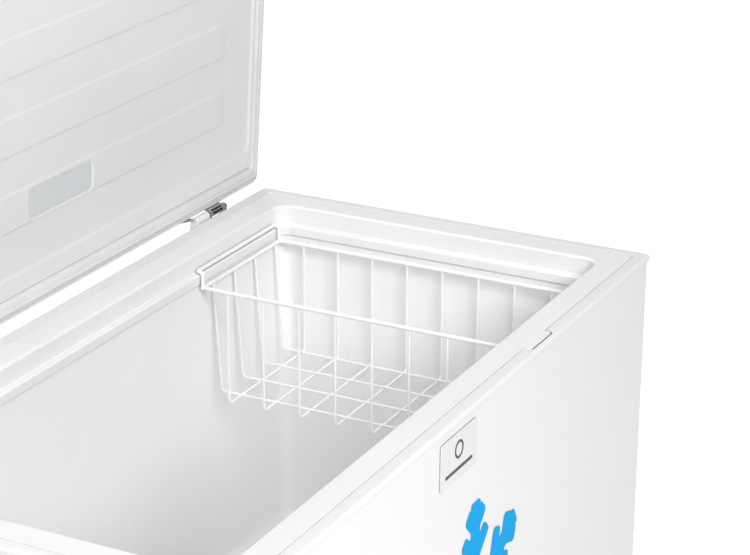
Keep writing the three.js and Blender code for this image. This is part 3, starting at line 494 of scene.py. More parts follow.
def prism(outline, low, high, edge=0.0):
    """An outline in X and Y as a flat plate from low to high, with its upper edge eased."""
    count = len(outline)
    middle = sum((Vector(p).to_2d() for p in outline), Vector((0, 0))) / count

    def eased(z, inset):
        result = []
        for p in outline:
            flat = Vector(p).to_2d()
            flat += (middle - flat).normalized() * inset
            result.append((flat.x, flat.y, z))
        return result

    rings = [eased(low, 0), eased(high - edge, 0)]
    if edge:
        rings += [eased(high - edge * 0.3, edge * 0.3), eased(high, edge)]
    return loft(rings, False, True, True)


def ball(centre, radii, steps=10, rows=6):
    """A small ellipsoid, such as a weld bead."""
    rings = [[(centre[0] + radii[0] * cos(b) * cos(a),
               centre[1] + radii[1] * cos(b) * sin(a),
               centre[2] + radii[2] * sin(b))
              for a in full_turn(steps)]
             for b in arc(-84, 84, rows)]
    return loft(rings, False, True, True)


def joined(shapes):
    """Several shapes' vertices and faces as one."""
    verts, faces = [], []
    for more_verts, more_faces in shapes:
        offset = len(verts)
        verts.extend(more_verts)
        faces.extend(tuple(i + offset for i in face) for face in more_faces)
    return verts, faces


def standing(y=0.0):
    """Turns a shape drawn in X and Y upright: its Y becomes height and its Z faces forwards."""
    return Matrix(((1, 0, 0, 0), (0, 0, -1, y), (0, 1, 0, 0), (0, 0, 0, 1)))


def facing_back():
    """Turns a shape drawn in X and Y upright with its Z facing backwards, as a mirror image."""
    return Matrix.Scale(-1, 4, (0, 1, 0)) @ standing()


def moved(shape, matrix):
    return [matrix @ Vector(v) for v in shape[0]], shape[1]


def even_shading(obj):
    """Keeps flat faces flat and round ones smooth."""
    weigh = obj.modifiers.new("even_shading", "WEIGHTED_NORMAL")
    weigh.weight = 100
    weigh.keep_sharp = True


def ease_edges(obj, width, segments, sharper_than):
    ease = obj.modifiers.new("edge", "BEVEL")
    ease.width = width * MM
    ease.segments = segments
    ease.limit_method = "ANGLE"
    ease.angle_limit = radians(sharper_than)


def piece(name, shape, place, material, body, stands_for=(), sheet=0.0, edge=0.0):
    """A new object of the freezer. sheet thickens an open surface; edge rounds the edges."""
    verts, faces = moved(shape, place)
    mesh = bpy.data.meshes.new(name)
    mesh.from_pydata(verts, [], faces)
    bm = bmesh.new()
    bm.from_mesh(mesh)
    bmesh.ops.remove_doubles(bm, verts=bm.verts, dist=0.01 * MM)
    bmesh.ops.recalc_face_normals(bm, faces=bm.faces)
    bm.to_mesh(mesh)
    bm.free()
    mesh.shade_smooth()
    obj = bpy.data.objects.new(name, mesh)
    bpy.context.scene.collection.objects.link(obj)
    obj.data.materials.append(material)
    if sheet:
        thick = obj.modifiers.new("sheet", "SOLIDIFY")
        thick.thickness = abs(sheet) * MM
        thick.offset = copysign(1, sheet)
    if edge:
        ease_edges(obj, edge, 3, 40)
    even_shading(obj)
    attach(obj, body)
    if stands_for:
        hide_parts(*stands_for)
    return obj


def mesh_cleaner():
    """Geometry nodes that weld a faceted solid's faces together and smooth its shading."""
    group = bpy.data.node_groups.new("mesh_cleaner", "GeometryNodeTree")
    for direction in ("INPUT", "OUTPUT"):
        group.interface.new_socket("Geometry", in_out=direction, socket_type="NodeSocketGeometry")
    start = group.nodes.new("NodeGroupInput")
    weld = group.nodes.new("GeometryNodeMergeByDistance")
    weld.inputs["Distance"].default_value = 0.01 * MM
    drop = group.nodes.new("GeometryNodeRemoveAttribute")
    drop.inputs["Name"].default_value = "custom_normal"
    smooth = group.nodes.new("GeometryNodeSetShadeSmooth")
    end = group.nodes.new("NodeGroupOutput")
    for a, b in ((start, weld), (weld, drop), (drop, smooth), (smooth, end)):
        group.links.new(a.outputs[0], b.inputs[0])
    return group


CLEANER = mesh_cleaner()


def dress(material, *nodes, edge=0.4):
    """Gives CAD nodes their finish, with eased edges and even shading."""
    for node in nodes:
        obj = frame["nodes"][node]
        obj.material_slots[0].material = material
        obj.modifiers.new("clean", "NODES").node_group = CLEANER
        flat = obj.modifiers.new("flat_faces", "DECIMATE")
        flat.decimate_type = "DISSOLVE"
        flat.angle_limit = radians(0.5)
        if edge:
            ease_edges(obj, edge, 2, 38)
        even_shading(obj)


# ------ rim


def tab_front(front, grow=0.0, reach=None):
    """Points along a front edge that bulges forwards round the tab, or runs straight past it."""
    half, radius = TAB["half"] + grow, TAB["radius"] + grow
    edge = front if reach is None else reach
    left, right = TAB["x"] - half, TAB["x"] + half
    depth = min(radius, front - edge)
    points = [(left, front), (left, min(front, edge + radius) if reach else front)]
    for centre, start in ((left + radius, 180), (right - radius, 270)):
        for a in arc(start, start + 90, 6):
            points.append((centre + radius * cos(a), edge + depth + depth * sin(a)))
    points += [(right, min(front, edge + radius) if reach else front), (right, front)]
    return points


def rim_cap():
    """The folded cap: a rounded outer bead, a flat top and a seam with a notch for the tab."""
    bead = 4.2

    def outline(inset, drop, radius, notch=None):
        front = -(RIM_Y - inset)
        return ring(RIM_X - inset, RIM_Y - inset, radius, RIM_TOP - drop,
                    front=tab_front(front, SEAM, notch))

    notch = TAB["edge"] - SEAM - CAM_SLOT
    rings = [outline(bead - bead * sin(a), bead - bead * cos(a),
                     max(7 - bead + bead * sin(a), 3)) for a in arc(0, 90, 7)]
    rings += [outline(0, CAP_LIP - 0.8, 7), outline(0.25, CAP_LIP - 0.2, 6.8),
              outline(0.9, CAP_LIP, 6.2), outline(1.9, CAP_LIP, 5.2),
              outline(2.5, CAP_LIP - 0.6, 4.6), outline(2.5, bead + 1, 4.6), outline(3.4, 3.1, 4),
              outline(5, RIM_SHEET, 3)]
    rings += [outline(CAP_WIDTH - 0.2, RIM_SHEET, 6, notch + 0.2), outline(CAP_WIDTH, 1.9, 6, notch),
              outline(CAP_WIDTH, 0.9, 6, notch), outline(CAP_WIDTH - 0.3, 0.25, 6, notch - 0.3),
              outline(CAP_WIDTH - 0.9, 0, 6, notch - 0.9)]
    piece("rim_cap_folded", loft(rings, True), CABINET, CAP_PAINT, "cabinet",
          ["rim_cap"])


def rim_collar():
    """The moulded collar: flat top with a tab, rounded edge, basket ledge and lower band."""
    seam_x, seam_y = RIM_X - CAP_WIDTH - SEAM, RIM_Y - CAP_WIDTH - SEAM

    def edge(inset, drop):
        front = -(seam_y - inset)
        return ring(seam_x - inset, seam_y - inset, 5.4, RIM_TOP - drop,
                    front=tab_front(front, -inset, TAB["edge"] + inset))

    def inside(out, drop):
        x, y = OPENING["x"] + out, OPENING["y"] + out
        radius = OPENING["radius"] + out
        return ring(x, y, radius, RIM_TOP - drop, OPENING["cy"],
                    front=tab_front(OPENING["cy"] - y))

    lip, fillet, nose = 4, 2.5, 2.6
    rings = [edge(0, RIM_SHEET), edge(0, 0.9), edge(0.25, 0.25), edge(0.9, 0)]
    rings += [inside(lip - lip * sin(a), lip - lip * cos(a)) for a in arc(0, 90, 6)]
    rings += [inside(-0.5 - fillet + fillet * cos(a), LEDGE_DROP - fillet + fillet * sin(a))
              for a in arc(0, 90, 4)]
    rings += [inside(-LEDGE + nose - nose * sin(a), LEDGE_DROP + nose - nose * cos(a))
              for a in arc(0, 90, 4)]
    rings += [inside(-LEDGE, COLLAR_DROP - 0.8), inside(-LEDGE + 0.8, COLLAR_DROP),
              inside(-LEDGE + 1.7, COLLAR_DROP), inside(-LEDGE + 2.4, COLLAR_DROP - 0.7),
              inside(-LEDGE + 2.4, LEDGE_DROP + RIM_SHEET + 1),
              inside(-LEDGE + 3.4, LEDGE_DROP + RIM_SHEET),
              inside(RIM_SHEET, LEDGE_DROP + RIM_SHEET), inside(RIM_SHEET, RIM_SHEET + 2),
              inside(RIM_SHEET + 2, RIM_SHEET)]
    skirt_thick, skirt_foot, overlap = 1.2, 13, 0.4  # a thin skirt hangs from the tab's front edge
    skirt = ring(TAB["half"] - TAB["radius"], skirt_thick / 2, 0.4, 0,
                 TAB["edge"] + skirt_thick / 2 + 0.15, TAB["x"])
    shapes = [loft(rings, True),
              prism(skirt, RIM_TOP - skirt_foot, RIM_TOP - RIM_SHEET + overlap)]
    piece("rim_collar_moulded", joined(shapes), CABINET, COLLAR, "cabinet",
          ["rim_collar"])


# ------ tank


def tank():
    """The lining: a deep tub with a step over the compressor, every inner corner rounded and the
    step's own edge only eased, because the foam behind it has a sharp one."""
    corner_steps, edge_steps, nearly = 8, 4, 0.01
    left, right = -TANK["x"], TANK["x"]
    front, back = TANK["cy"] - TANK["y"], TANK["cy"] + TANK["y"]
    floor, top, step_x, step_z = TANK["floor"], TANK["top"], TANK_STEP["x"], TANK_STEP["top"]
    profile = [(left, floor), (step_x, floor), (step_x, step_z), (right, step_z), (right, top),
               (left, top)]
    bm = bmesh.new()
    sides = [[bm.verts.new((x, y, z)) for x, z in profile] for y in (front, back)]
    for side in sides:
        bm.faces.new(side)
    for i in range(len(profile) - 2):
        bm.faces.new((sides[0][i], sides[0][i + 1], sides[1][i + 1], sides[1][i]))
    bm.faces.new((sides[0][-1], sides[0][0], sides[1][0], sides[1][-1]))
    bmesh.ops.recalc_face_normals(bm, faces=bm.faces)

    def on_step_edge(edge):
        return all(abs(v.co.x + v.co.z - step_x - step_z) < nearly and v.co.x < step_x + nearly
                   for v in edge.verts)

    def rounded(edges, radius, steps):
        bmesh.ops.bevel(bm, geom=edges, offset=radius, segments=steps, profile=0.5, affect="EDGES",
                        clamp_overlap=True)

    folds = [e for e in bm.edges if len(e.link_faces) == 2 and not on_step_edge(e)]
    rounded(folds, TANK["radius"], corner_steps)
    rounded([e for e in bm.edges if on_step_edge(e)], TANK_STEP["edge"], edge_steps)
    bm.verts.ensure_lookup_table()
    shape = [v.co.copy() for v in bm.verts], [tuple(v.index for v in f.verts) for f in bm.faces]
    bm.free()
    piece("tank_lining", shape, CABINET, LINING, "cabinet", ["inner_liner"],
          sheet=TANK_SHEET)


# ------ lid


def lid_ring(e, z, radius, **extra):
    """A ring at insets e from the lid's ends, back and front, given as one number or three."""
    side, back, front = (e, e, e) if isinstance(e, (int, float)) else e
    rear = LID_BACK - back
    fore = LID_BACK - LID_DEPTH + front
    return ring(LID_X - side, (rear - fore) / 2, radius, z, (rear + fore) / 2, **extra)


def lid_skin():
    """The pressed steel skin: round shoulders above and an edge folded in below."""
    shoulder, sheet, lip = 7, 1.2, 4
    outer = [lid_ring(shoulder - shoulder * sin(a), LID_TOP - shoulder + shoulder * cos(a),
                      12 - shoulder + shoulder * sin(a)) for a in arc(0, 90, 7)]
    outer += [lid_ring(0, LID_BOTTOM + 1.5, 12), lid_ring(0.4, LID_BOTTOM + 0.4, 11.6),
              lid_ring(1.5, LID_BOTTOM, 10.5), lid_ring(lip - 0.3, LID_BOTTOM, 8.3),
              lid_ring(lip, LID_BOTTOM + 0.3, 8), lid_ring(lip, LID_BOTTOM + sheet, 8)]
    inner = [lid_ring(sheet, LID_BOTTOM + sheet, 10.8),
             lid_ring(sheet, LID_TOP - shoulder, 10.8), lid_ring(3.5, LID_TOP - 3.4, 8.5),
             lid_ring(shoulder, LID_TOP - sheet, 5)]
    piece("lid_skin", loft(outer + inner, False, True, True), LID, PAINT, "lid",
          ["lid_shell"])


def insets(sizes, extra=0.0):
    """The insets from the lid's ends, back and front, each larger by extra."""
    return tuple(sizes[edge] + extra for edge in ("side", "back", "front"))


def between(one, other, t):
    """Insets part of the way from one set to another."""
    return tuple(a + (b - a) * t for a, b in zip(one, other))


def clustered(edges, low, high, offsets):
    """Grid lines at each edge plus the offsets round it, kept within low..high."""
    places = {round(edge + d, 3) for edge in edges for d in offsets}
    kept = sorted(p for p in places if low < p < high)
    return [p for i, p in enumerate(kept) if i == 0 or p - kept[i - 1] > CLOSEST]


def band_middles():
    return [LID_BACK - RIB["first"] - i * RIB["pitch"] for i in range(RIB["count"])]


def field_height(x, y):
    """Height of the panel's flat field, with its soft bands and its pocket round the lamp."""
    band_end, band_side, pocket_side = 24, 5.2, 6  # widths of the slopes
    along = 1 - smoothstep((abs(x) - RIB["half"] + band_end / 2) / band_end)
    band = max(1 - smoothstep((abs(y - middle) - RIB["width"] / 2 + band_side / 2) / band_side)
               for middle in band_middles())
    dx = abs(x - LAMP["x"]) - LAMP["half_x"] + LAMP["radius"]
    dy = abs(y - LAMP["y"]) - LAMP["half_y"] + LAMP["radius"]
    away = hypot(max(dx, 0), max(dy, 0)) + min(max(dx, dy), 0) - LAMP["radius"]
    dip = 1 - smoothstep((away + pocket_side / 2) / pocket_side)
    return PANEL_Z - RIB["height"] * band * along * (1 - dip) + LAMP["dip"] * dip


def field_lines():
    """The field's grid lines in X and in Y, close together where its height changes."""
    side, back, front = insets(PANEL, APRON)
    low_x, high_x = -(LID_X - side), LID_X - side
    low_y, high_y = LID_BACK - LID_DEPTH + front, LID_BACK - back
    slope = (-3.5, -2.6, -1.8, -1, 0, 1, 1.8, 2.6, 3.5)
    pocket = (-9, -6.5, -4.5, -3, -2, -1, 0, 1, 2, 3, 4.5, 6.5, 9)
    band_edges = [middle + s * RIB["width"] / 2 for middle in band_middles() for s in (-1, 1)]
    band_ends = [s * (RIB["half"] - d) for s in (-1, 1) for d in range(-12, 13, 4)]
    lamp_x = [LAMP["x"] - LAMP["half_x"], LAMP["x"] + LAMP["half_x"]]
    lamp_y = [LAMP["y"] - LAMP["half_y"], LAMP["y"] + LAMP["half_y"]]
    xs = sorted(clustered(lamp_x, low_x, high_x, pocket) + band_ends + [-250, -140, *CAM_X, 340])
    ys = clustered(band_edges, low_y, high_y, slope) + clustered(lamp_y, low_y, high_y, pocket)
    ys = sorted(set(ys + [high_y - 25, low_y + 8]))
    ys = [v for i, v in enumerate(ys) if i == 0 or v - ys[i - 1] > CLOSEST]
    return [low_x, *xs, high_x], [low_y, *ys, high_y]


def panel_field(xs, ys):
    """The field itself, flat along its edges."""
    verts, faces = [], []
    for y in ys:
        for x in xs:
            on_edge = x in (xs[0], xs[-1]) or y in (ys[0], ys[-1])
            verts.append((x, y, PANEL_Z if on_edge else field_height(x, y)))
    width = len(xs)
    for j in range(len(ys) - 1):
        for i in range(width - 1):
            a = j * width + i
            faces.append((a, a + 1, a + 1 + width, a + width))
    return verts, faces


def panel_border(xs, ys):
    """The border: an outer shelf with the lock cam's slot, the seal channel and a round ridge."""
    channel, inner, panel = insets(SEAL), insets(SEAL, SEAL_WIDTH), insets(PANEL)

    def edge(e, z, radius):
        return lid_ring(e, z, radius, xs=xs[1:-1], ys=ys[1:-1])

    def grown(e, d):
        return tuple(v - d for v in e)

    ridge = 3.4
    rim, shelf = (4.4, 4.4, 4.4), grown(channel, 1.1)
    slot = [(e - rim[2]) / (shelf[2] - rim[2]) for e in CAM_ROOM["e"]]
    rings = [edge(rim, LID_BOTTOM, 8), *(edge(between(rim, shelf, t), LID_BOTTOM, 5) for t in slot),
             edge(shelf, LID_BOTTOM, 2.2), edge(grown(channel, 0.3), LID_BOTTOM + 0.3, 1.5),
             edge(channel, LID_BOTTOM + 1.1, 1.2), edge(channel, SEAL_TOP - 0.6, 1.2),
             edge(grown(channel, -0.6), SEAL_TOP, 1.2), edge(grown(inner, 0.6), SEAL_TOP, 4),
             edge(inner, SEAL_TOP - 0.6, 4)]
    rings += [edge(grown(inner, -ridge + ridge * cos(a)), ridge - ridge * sin(a), 5)
              for a in arc(0, 90, 6)]
    rings += [edge(between(grown(panel, 5), grown(panel, -3), t / 8), PANEL_Z * smoothstep(t / 8), 11)
              for t in range(9)]
    rings += [edge(grown(panel, -8), PANEL_Z, 5), edge(insets(PANEL, APRON), PANEL_Z, 0.01)]
    verts, faces = loft(rings)

    def in_cam_slot(face):
        between_slot_rings = face[0] // len(rings[0]) == 1
        mean_x = sum(verts[i][0] for i in face) / len(face)
        mean_y = sum(verts[i][1] for i in face) / len(face)
        in_front = mean_y < LID_BACK - LID_DEPTH / 2
        return between_slot_rings and in_front and CAM_X[0] < mean_x < CAM_X[1]

    return verts, [face for face in faces if not in_cam_slot(face)]


def lid_panel():
    """The vacuum-formed inner panel."""
    lines = field_lines()
    shape = joined([panel_border(*lines), panel_field(*lines)])
    piece("lid_inner_panel", shape, LID, LID_LINING, "lid", ["lid_liner"],
          sheet=1.5)


def lid_seal():
    """Four lengths of magnetic seal, welded at mitred corners."""
    profile = [(0.4, 10.1), (0.4, 4.4), (1.1, 3.7), (2.4, 3.7), (2.9, 3.1), (3.1, 1.4), (3.9, 0.1),
               (5.3, -0.6), (9.2, -0.6), (9.9, -0.2), (10.3, 0.5), (10.7, -0.2), (11.4, -0.6),
               (18.2, -0.6), (19.6, 0), (20.3, 1), (20.7, 1.9), (21.2, 2.2), (22.4, 2.2),
               (23.1, 2.8), (23.1, 10.1)]
    side = LID_X - SEAL["side"]
    back, front = LID_BACK - SEAL["back"], LID_BACK - LID_DEPTH + SEAL["front"]
    corners = [(-side, front), (side, front), (side, back), (-side, back)]
    slit = 0.22
    bars = []
    for i, here in enumerate(corners):
        there = corners[(i + 1) % 4]
        along = (Vector(there) - Vector(here)).normalized()
        inward = Vector((-along.y, along.x))
        rings = []
        for place, sense in ((here, 1), (there, -1)):
            rings.append([(*(Vector(place) + inward * e + along * sense * (e + slit)), z)
                          for e, z in profile])
        bars.append(loft(rings, False, True, True))
    piece("lid_seal", joined(bars), LID, VINYL, "lid", ["lid_gasket"])


def lamp_lens():
    """A slightly dished diffuser over the lamp."""
    rings = []
    for inset, depth in ((0, 2), (0, 0.9), (0.3, 0.4), (1.2, 0.3), (5, 0.3), (13, 0.3)):
        rings.append(ring(LAMP["half_x"] - inset, LAMP["half_y"] - inset, max(LAMP["radius"] - inset, 3),
                          PANEL_Z + depth, LAMP["y"], LAMP["x"]))
    piece("lamp_diffuser", loft(rings, False, True, True), LID, DIFFUSER, "lid",
          ["lamp_lens"])


# ------ basket


def basket():
    """Dipped wire: a heavy top frame with hangers, a light grid welded to it, weld beads."""
    x0, x1, y, top, bottom = (BASKET[k] for k in ("x0", "x1", "y", "top", "bottom"))
    frame_bend, grid_bend, hanger_bend, weld_drop = 9, 5.5, 4.2, 1.6
    cross_pitch, cross_wires = 54.8, 8
    long_wires = (28, 85.3, 142.6, 200)  # their distances from the open tank's end
    corners = [(x0, -y, top), (x1, -y, top), (x1, y, top), (x0, y, top)]
    shapes = [tube(rounded_path(corners, frame_bend, True), FRAME_WIRE, 14, True)]
    places = [(i - (cross_wires - 1) / 2) * cross_pitch for i in range(cross_wires)]
    for place in places:
        path = [(x0, place, top), (x0, place, bottom), (x1, place, bottom), (x1, place, top)]
        shapes.append(tube(rounded_path(path, grid_bend), GRID_WIRE))
        shapes += [ball((x, place, top - weld_drop), (2.5, 2.6, 3.4)) for x in (x0, x1)]
    low = bottom + 1.7 * GRID_WIRE
    lean = y - BASKET["taper"]
    for distance in long_wires:
        x = x0 + distance
        path = [(x, -y, top), (x, -lean, low), (x, lean, low), (x, y, top)]
        shapes.append(tube(rounded_path(path, grid_bend), GRID_WIRE))
        shapes += [ball((x, s * y, top - weld_drop), (2.6, 2.5, 3.4)) for s in (-1, 1)]
        shapes += [ball((x, place, bottom + GRID_WIRE * 0.85), (2, 2, 1.9), 8, 4) for place in places]
    hook = RIM_TOP - LEDGE_DROP + FRAME_WIRE + 0.4
    near, far, foot = x0 + 1, x1 - 2, top - 1  # the hangers' ends
    for side in (-1, 1):
        wall = OPENING["cy"] + side * (OPENING["y"] - 0.6 - FRAME_WIRE)
        path = [(near, side * y, foot), (near, side * y, hook), (near, wall, hook),
                (far, wall, hook), (far, side * y, hook), (far, side * y, foot)]
        shapes.append(tube(rounded_path(path, hanger_bend), FRAME_WIRE, 14))
        shapes += [ball((x, side * y, top), (4.4, 3.6, 3.7)) for x in (near, far)]
    piece("basket_wires", joined(shapes), CABINET, WIRE, "basket", ["basket"])


# ------ markings


def front_plate(name, outlines, proud, thick, material, stands_for=(), edge=0.0):
    """Flat shapes on the front panel, drawn in X and Z and proud of it by that much."""
    shapes = [prism(outline, proud, proud + thick, edge) for outline in outlines]
    place = CABINET @ standing(FRONT)
    piece(name, joined(shapes), place, material, "cabinet", stands_for)


def badge():
    """A thin enamelled plate with a plain printed ring and bar."""
    low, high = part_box("name_badge")
    cx, cz = (low.x + high.x) / 2 / MM, (low.z + high.z) / 2 / MM
    plate = ring((high.x - low.x) / 2 / MM, (high.z - low.z) / 2 / MM, 5, 0, cz, cx)
    front_plate("badge_plate", [plate], 0.4, 0.8, PLATE, ["name_badge"], 0.4)
    bar = ring(36, 2.1, 2, 0, cz - 16, cx)
    front_plate("badge_bar", [bar], 1.2, 0.35, INK)
    outer, inner, low_face, high_face = 11.5, 8.3, 1.2, 1.5
    section = ((outer, low_face), (outer, high_face), (inner, high_face), (inner, low_face))
    rings = [[(cx + r * cos(a), cz + 8 + r * sin(a), h) for a in full_turn(48)]
             for r, h in section]
    piece("badge_ring", loft(rings, True), CABINET @ standing(FRONT), INK, "cabinet")


def crystal():
    """A six-armed snow crystal cut from film, with every point rounded."""
    low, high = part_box("frost_decal")
    cx, cz = (low.x + high.x) / 2 / MM, (low.z + high.z) / 2 / MM
    reach, stem, branch = 136, 12.5, 10
    branches = ((60, 46), (100, 32))
    slope = sqrt(0.5)
    half_arm = [(18, 31.2)]
    for start, length in branches:
        off = branch * slope
        tip_x, tip_y = length * slope, start + length * slope
        half_arm += [(stem, start - 2 * off + stem), (tip_x + off, tip_y - off),
                     (tip_x - off, tip_y + off), (stem, start + 2 * off + stem)]
    half_arm.append((stem, reach))
    arm = half_arm + [(-x, y) for x, y in reversed(half_arm[1:])]
    outline = []
    for turn in range(6):
        spin = Matrix.Rotation(radians(60 * turn), 2)
        outline += [(spin @ Vector(p)).to_3d() for p in arm]
    smooth = rounded_path(outline, 6.5, True, 5)
    shape = [(cx + p.x, cz + p.y) for p in smooth]
    front_plate("crystal_film", [shape], 0.4, 0.35, FILM, ["frost_decal"])


# ------ hinges

HINGE_X = 431
HINGE_Y = hinge["pos_m"][1] / MM
HINGE = {"half": 18.9, "outside": 5.5, "leaf": (4, 5.7), "strap": 1.4}


def hinge_knuckle(end, side):
    """The lid's stamped leaf, rolled into a knuckle with two windows over the pin."""
    half, radius, steps = HINGE["half"], HINGE["outside"], 48
    window_start, window_end, windows = -14.5, 13, ((180, 218), (238, 276))
    places = [-half, -half + 1.5, window_start, -12, 0, 10, window_end, half - 1.5, half]
    verts, faces = [], []
    for x in places:
        verts += [(x, radius * cos(a), radius * sin(a)) for a in full_turn(steps)]
    for i in range(len(places) - 1):
        beside_window = places[i] >= window_start and places[i + 1] <= window_end
        for k in range(steps):
            turn = 360 * (k + 0.5) / steps
            if beside_window and any(low < turn < high for low, high in windows):
                continue
            a, b = i * steps + k, i * steps + (k + 1) % steps
            faces.append((a, b, b + steps, a + steps))
    spot = LID @ Matrix.Translation((side * HINGE_X, 0, 0))
    knuckle = piece(f"hinge_knuckle_{end}", (verts, faces), spot, STEEL, "lid",
                    [f"hinge_arm_{end}"], sheet=-HINGE["strap"])
    # the knuckle's inner face gets the near-black material: painted shade behind its windows
    knuckle.data.materials.append(KNUCKLE_SHADE)
    knuckle.modifiers["sheet"].material_offset = 1
    outline = [(-84, 8), (-60, -4), (-60, 8.5), (-half, 8.5), (-half, 0), (half, 0), (half, 8.5),
               (half + 4.7, 10), (half + 4.7, 44), (-84, 44)]
    leaf = prism([(x, z, 0) for x, z in outline], *HINGE["leaf"])
    piece(f"hinge_leaf_{end}", leaf, spot @ standing(), STEEL, "lid", edge=0.4)
    heads = [moved(screw_head(), facing_back() @ Matrix.Translation((x, z, -HINGE["leaf"][0])))
             for x, z in ((-72, 12), (-72, 34), (-20, 34), (14, 34))]
    piece(f"hinge_leaf_screws_{end}", joined(heads), spot, SPRING_WIRE, "lid")


def spring_cover(end, side):
    """The moulded block over the spring, with soft ends."""
    front, back, foot, top = RIM_Y + 0.8 - HINGE_Y + CABINET.translation.y / MM, 8, -14, 6.3
    section = [(front, foot), (back, foot), (back - 0.6, -5)]
    section += [(top * cos(a), top * sin(a)) for a in arc(0, 180, 12)]
    section.append((front - 0.6, -5))
    rings = []
    for x, inset in ((-58, 1.6), (-57.6, 0.7), (-56.6, 0), (-25.4, 0), (-24.4, 0.7), (-24, 1.6)):
        rings.append([(x, y - copysign(min(inset, abs(y)), y), z - inset if z > 0 else z)
                      for y, z in section])
    spot = Matrix.Translation(hinge["pos_m"]) @ TO_METRES @ Matrix.Translation((side * HINGE_X, 0, 0))
    piece(f"spring_cover_moulded_{end}", loft(rings, False, True, True), spot, WHITE, "cabinet",
          [f"spring_cover_{end}"])


# ------ turned and fluted parts


def turned_part(name, node, profile, material, body, flutes=0):
    """A round part about its CAD node's middle, with its axis along Y and its far end forwards.
    The profile holds (radius, distance forwards of the middle, depth of the flutes)."""

    def point(radius, ahead, depth, angle):
        reach = radius - depth * (0.5 - 0.5 * cos(flutes * angle))
        return reach * cos(angle), reach * sin(angle), ahead

    low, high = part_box(node)
    rings = [[point(*place, a) for a in full_turn(8 * flutes or 64)] for place in profile]
    place = Matrix.Translation((low + high) / 2) @ TO_METRES @ standing()
    if profile[0][0] > 0 and profile[0] == profile[-1]:
        shape = loft(rings[:-1], True)
    else:
        shape = loft(rings, False, True, True)
    piece(name, shape, place, material, body, [node])


def wheel(side, end):
    """A caster wheel: bored hub, recessed web and a rounded tread."""
    half, radius = 9, 20.1
    face = [(3.4, half), (8, half), (8.8, half - 0.6), (9.4, half - 3), (13.6, half - 3.4),
            (14.4, half - 1), (15.2, half - 0.3), (17.6, half - 0.3), (19.2, half - 1.2),
            (radius, half - 3.4)]
    profile = [(r, z, 0) for r, z in face] + [(r, -z, 0) for r, z in reversed(face)]
    profile.append(profile[0])
    turned_part(f"caster_tyre_{side}_{end}", f"caster_wheel_{side}_{end}", profile, BLACK_PLASTIC,
                f"wheel_{side}_{end}")


def controls():
    """The fluted thermostat knob with its pointer, and the two domed lamp windows."""
    turned_part("knob_fluted", "thermostat_knob",
                [(3.5, -5.5, 0), (16.8, -5.5, 0.2), (17, -5, 1), (16.4, 2, 1.2), (15.9, 3.4, 0.9),
                 (14.8, 4.1, 0.3), (13, 4.2, 0), (11.5, 3.6, 0), (3.5, 3.4, 0), (3.5, -5.5, 0)],
                WHITE, "knob", 18)
    low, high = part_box("thermostat_knob")
    middle = Matrix.Translation(((low.x + high.x) / 2, high.y, (low.z + high.z) / 2)) @ TO_METRES
    grip = [(x, y, 0) for x, y, _ in ring(3.4, 14.6, 2.4, 0)]
    piece("knob_grip", prism(grip, 7.8, 11, 0.8), middle @ standing(), WHITE, "knob")
    mark = [(x, y, 0) for x, y, _ in ring(0.7, 4, 0.6, 0, 9.6)]
    piece("knob_pointer", prism(mark, 10.9, 11.1), middle @ standing(), INK, "knob")
    for node, material, slot in (("power_lamp", GREEN, "green_lens"), ("run_lamp", AMBER, "amber_lens")):
        turned_part(f"{node}_window", node,
                    [(3.6, -7.4, 0), (3.8, -7, 0), (3.8, 6, 0), (3.5, 6.7, 0), (2.7, 7.1, 0),
                     (1.4, 7.35, 0), (0.3, 7.4, 0)], material, "cabinet")


def drain_parts():
    """The knurled outlet cap on the front."""
    turned_part("drain_cap_knurled", "drain_cap",
                [(5.6, -9.5, 0), (6, -9, 0), (6, 2.5, 0), (14.6, 2.6, 0.4), (15, 3.4, 0.9),
                 (14.8, 7.6, 0.9), (13.9, 9, 0.5), (12.4, 9.5, 0), (10.4, 9.4, 0), (9.8, 8.7, 0),
                 (0.4, 8.6, 0)], GREY_PLASTIC, "cap", 26)


def panel_screws():
    """Screws of the rear cover and of the hinge brackets, all on the back panel."""
    low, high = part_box("rear_cover")
    face, inset = high.y / MM, 7
    spots = [(x / MM + sx * inset, face, z / MM + sz * inset)
             for x, sx in ((low.x, 1), (high.x, -1)) for z, sz in ((low.z, 1), (high.z, -1))]
    low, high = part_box("hinge_bracket_right")
    plate = low.y / MM + 2
    spots += [(side * HINGE_X + dx, plate, z) for side in (-1, 1) for dx in (-11, 11)
              for z in (704, 770)]
    heads = [moved(screw_head(), Matrix.Translation(spot) @ facing_back()) for spot in spots]
    piece("back_screws", joined(heads), TO_METRES, STEEL, "cabinet")


# ------ stage


def backdrop(tree, socket, light, seen):
    """Sets how strongly the stage lights the object and how bright it is seen itself."""
    path = tree.nodes.new("ShaderNodeLightPath")
    tree.links.new(mapped(tree, path.outputs["Is Camera Ray"], 0.0, 1.0, light, seen), socket)


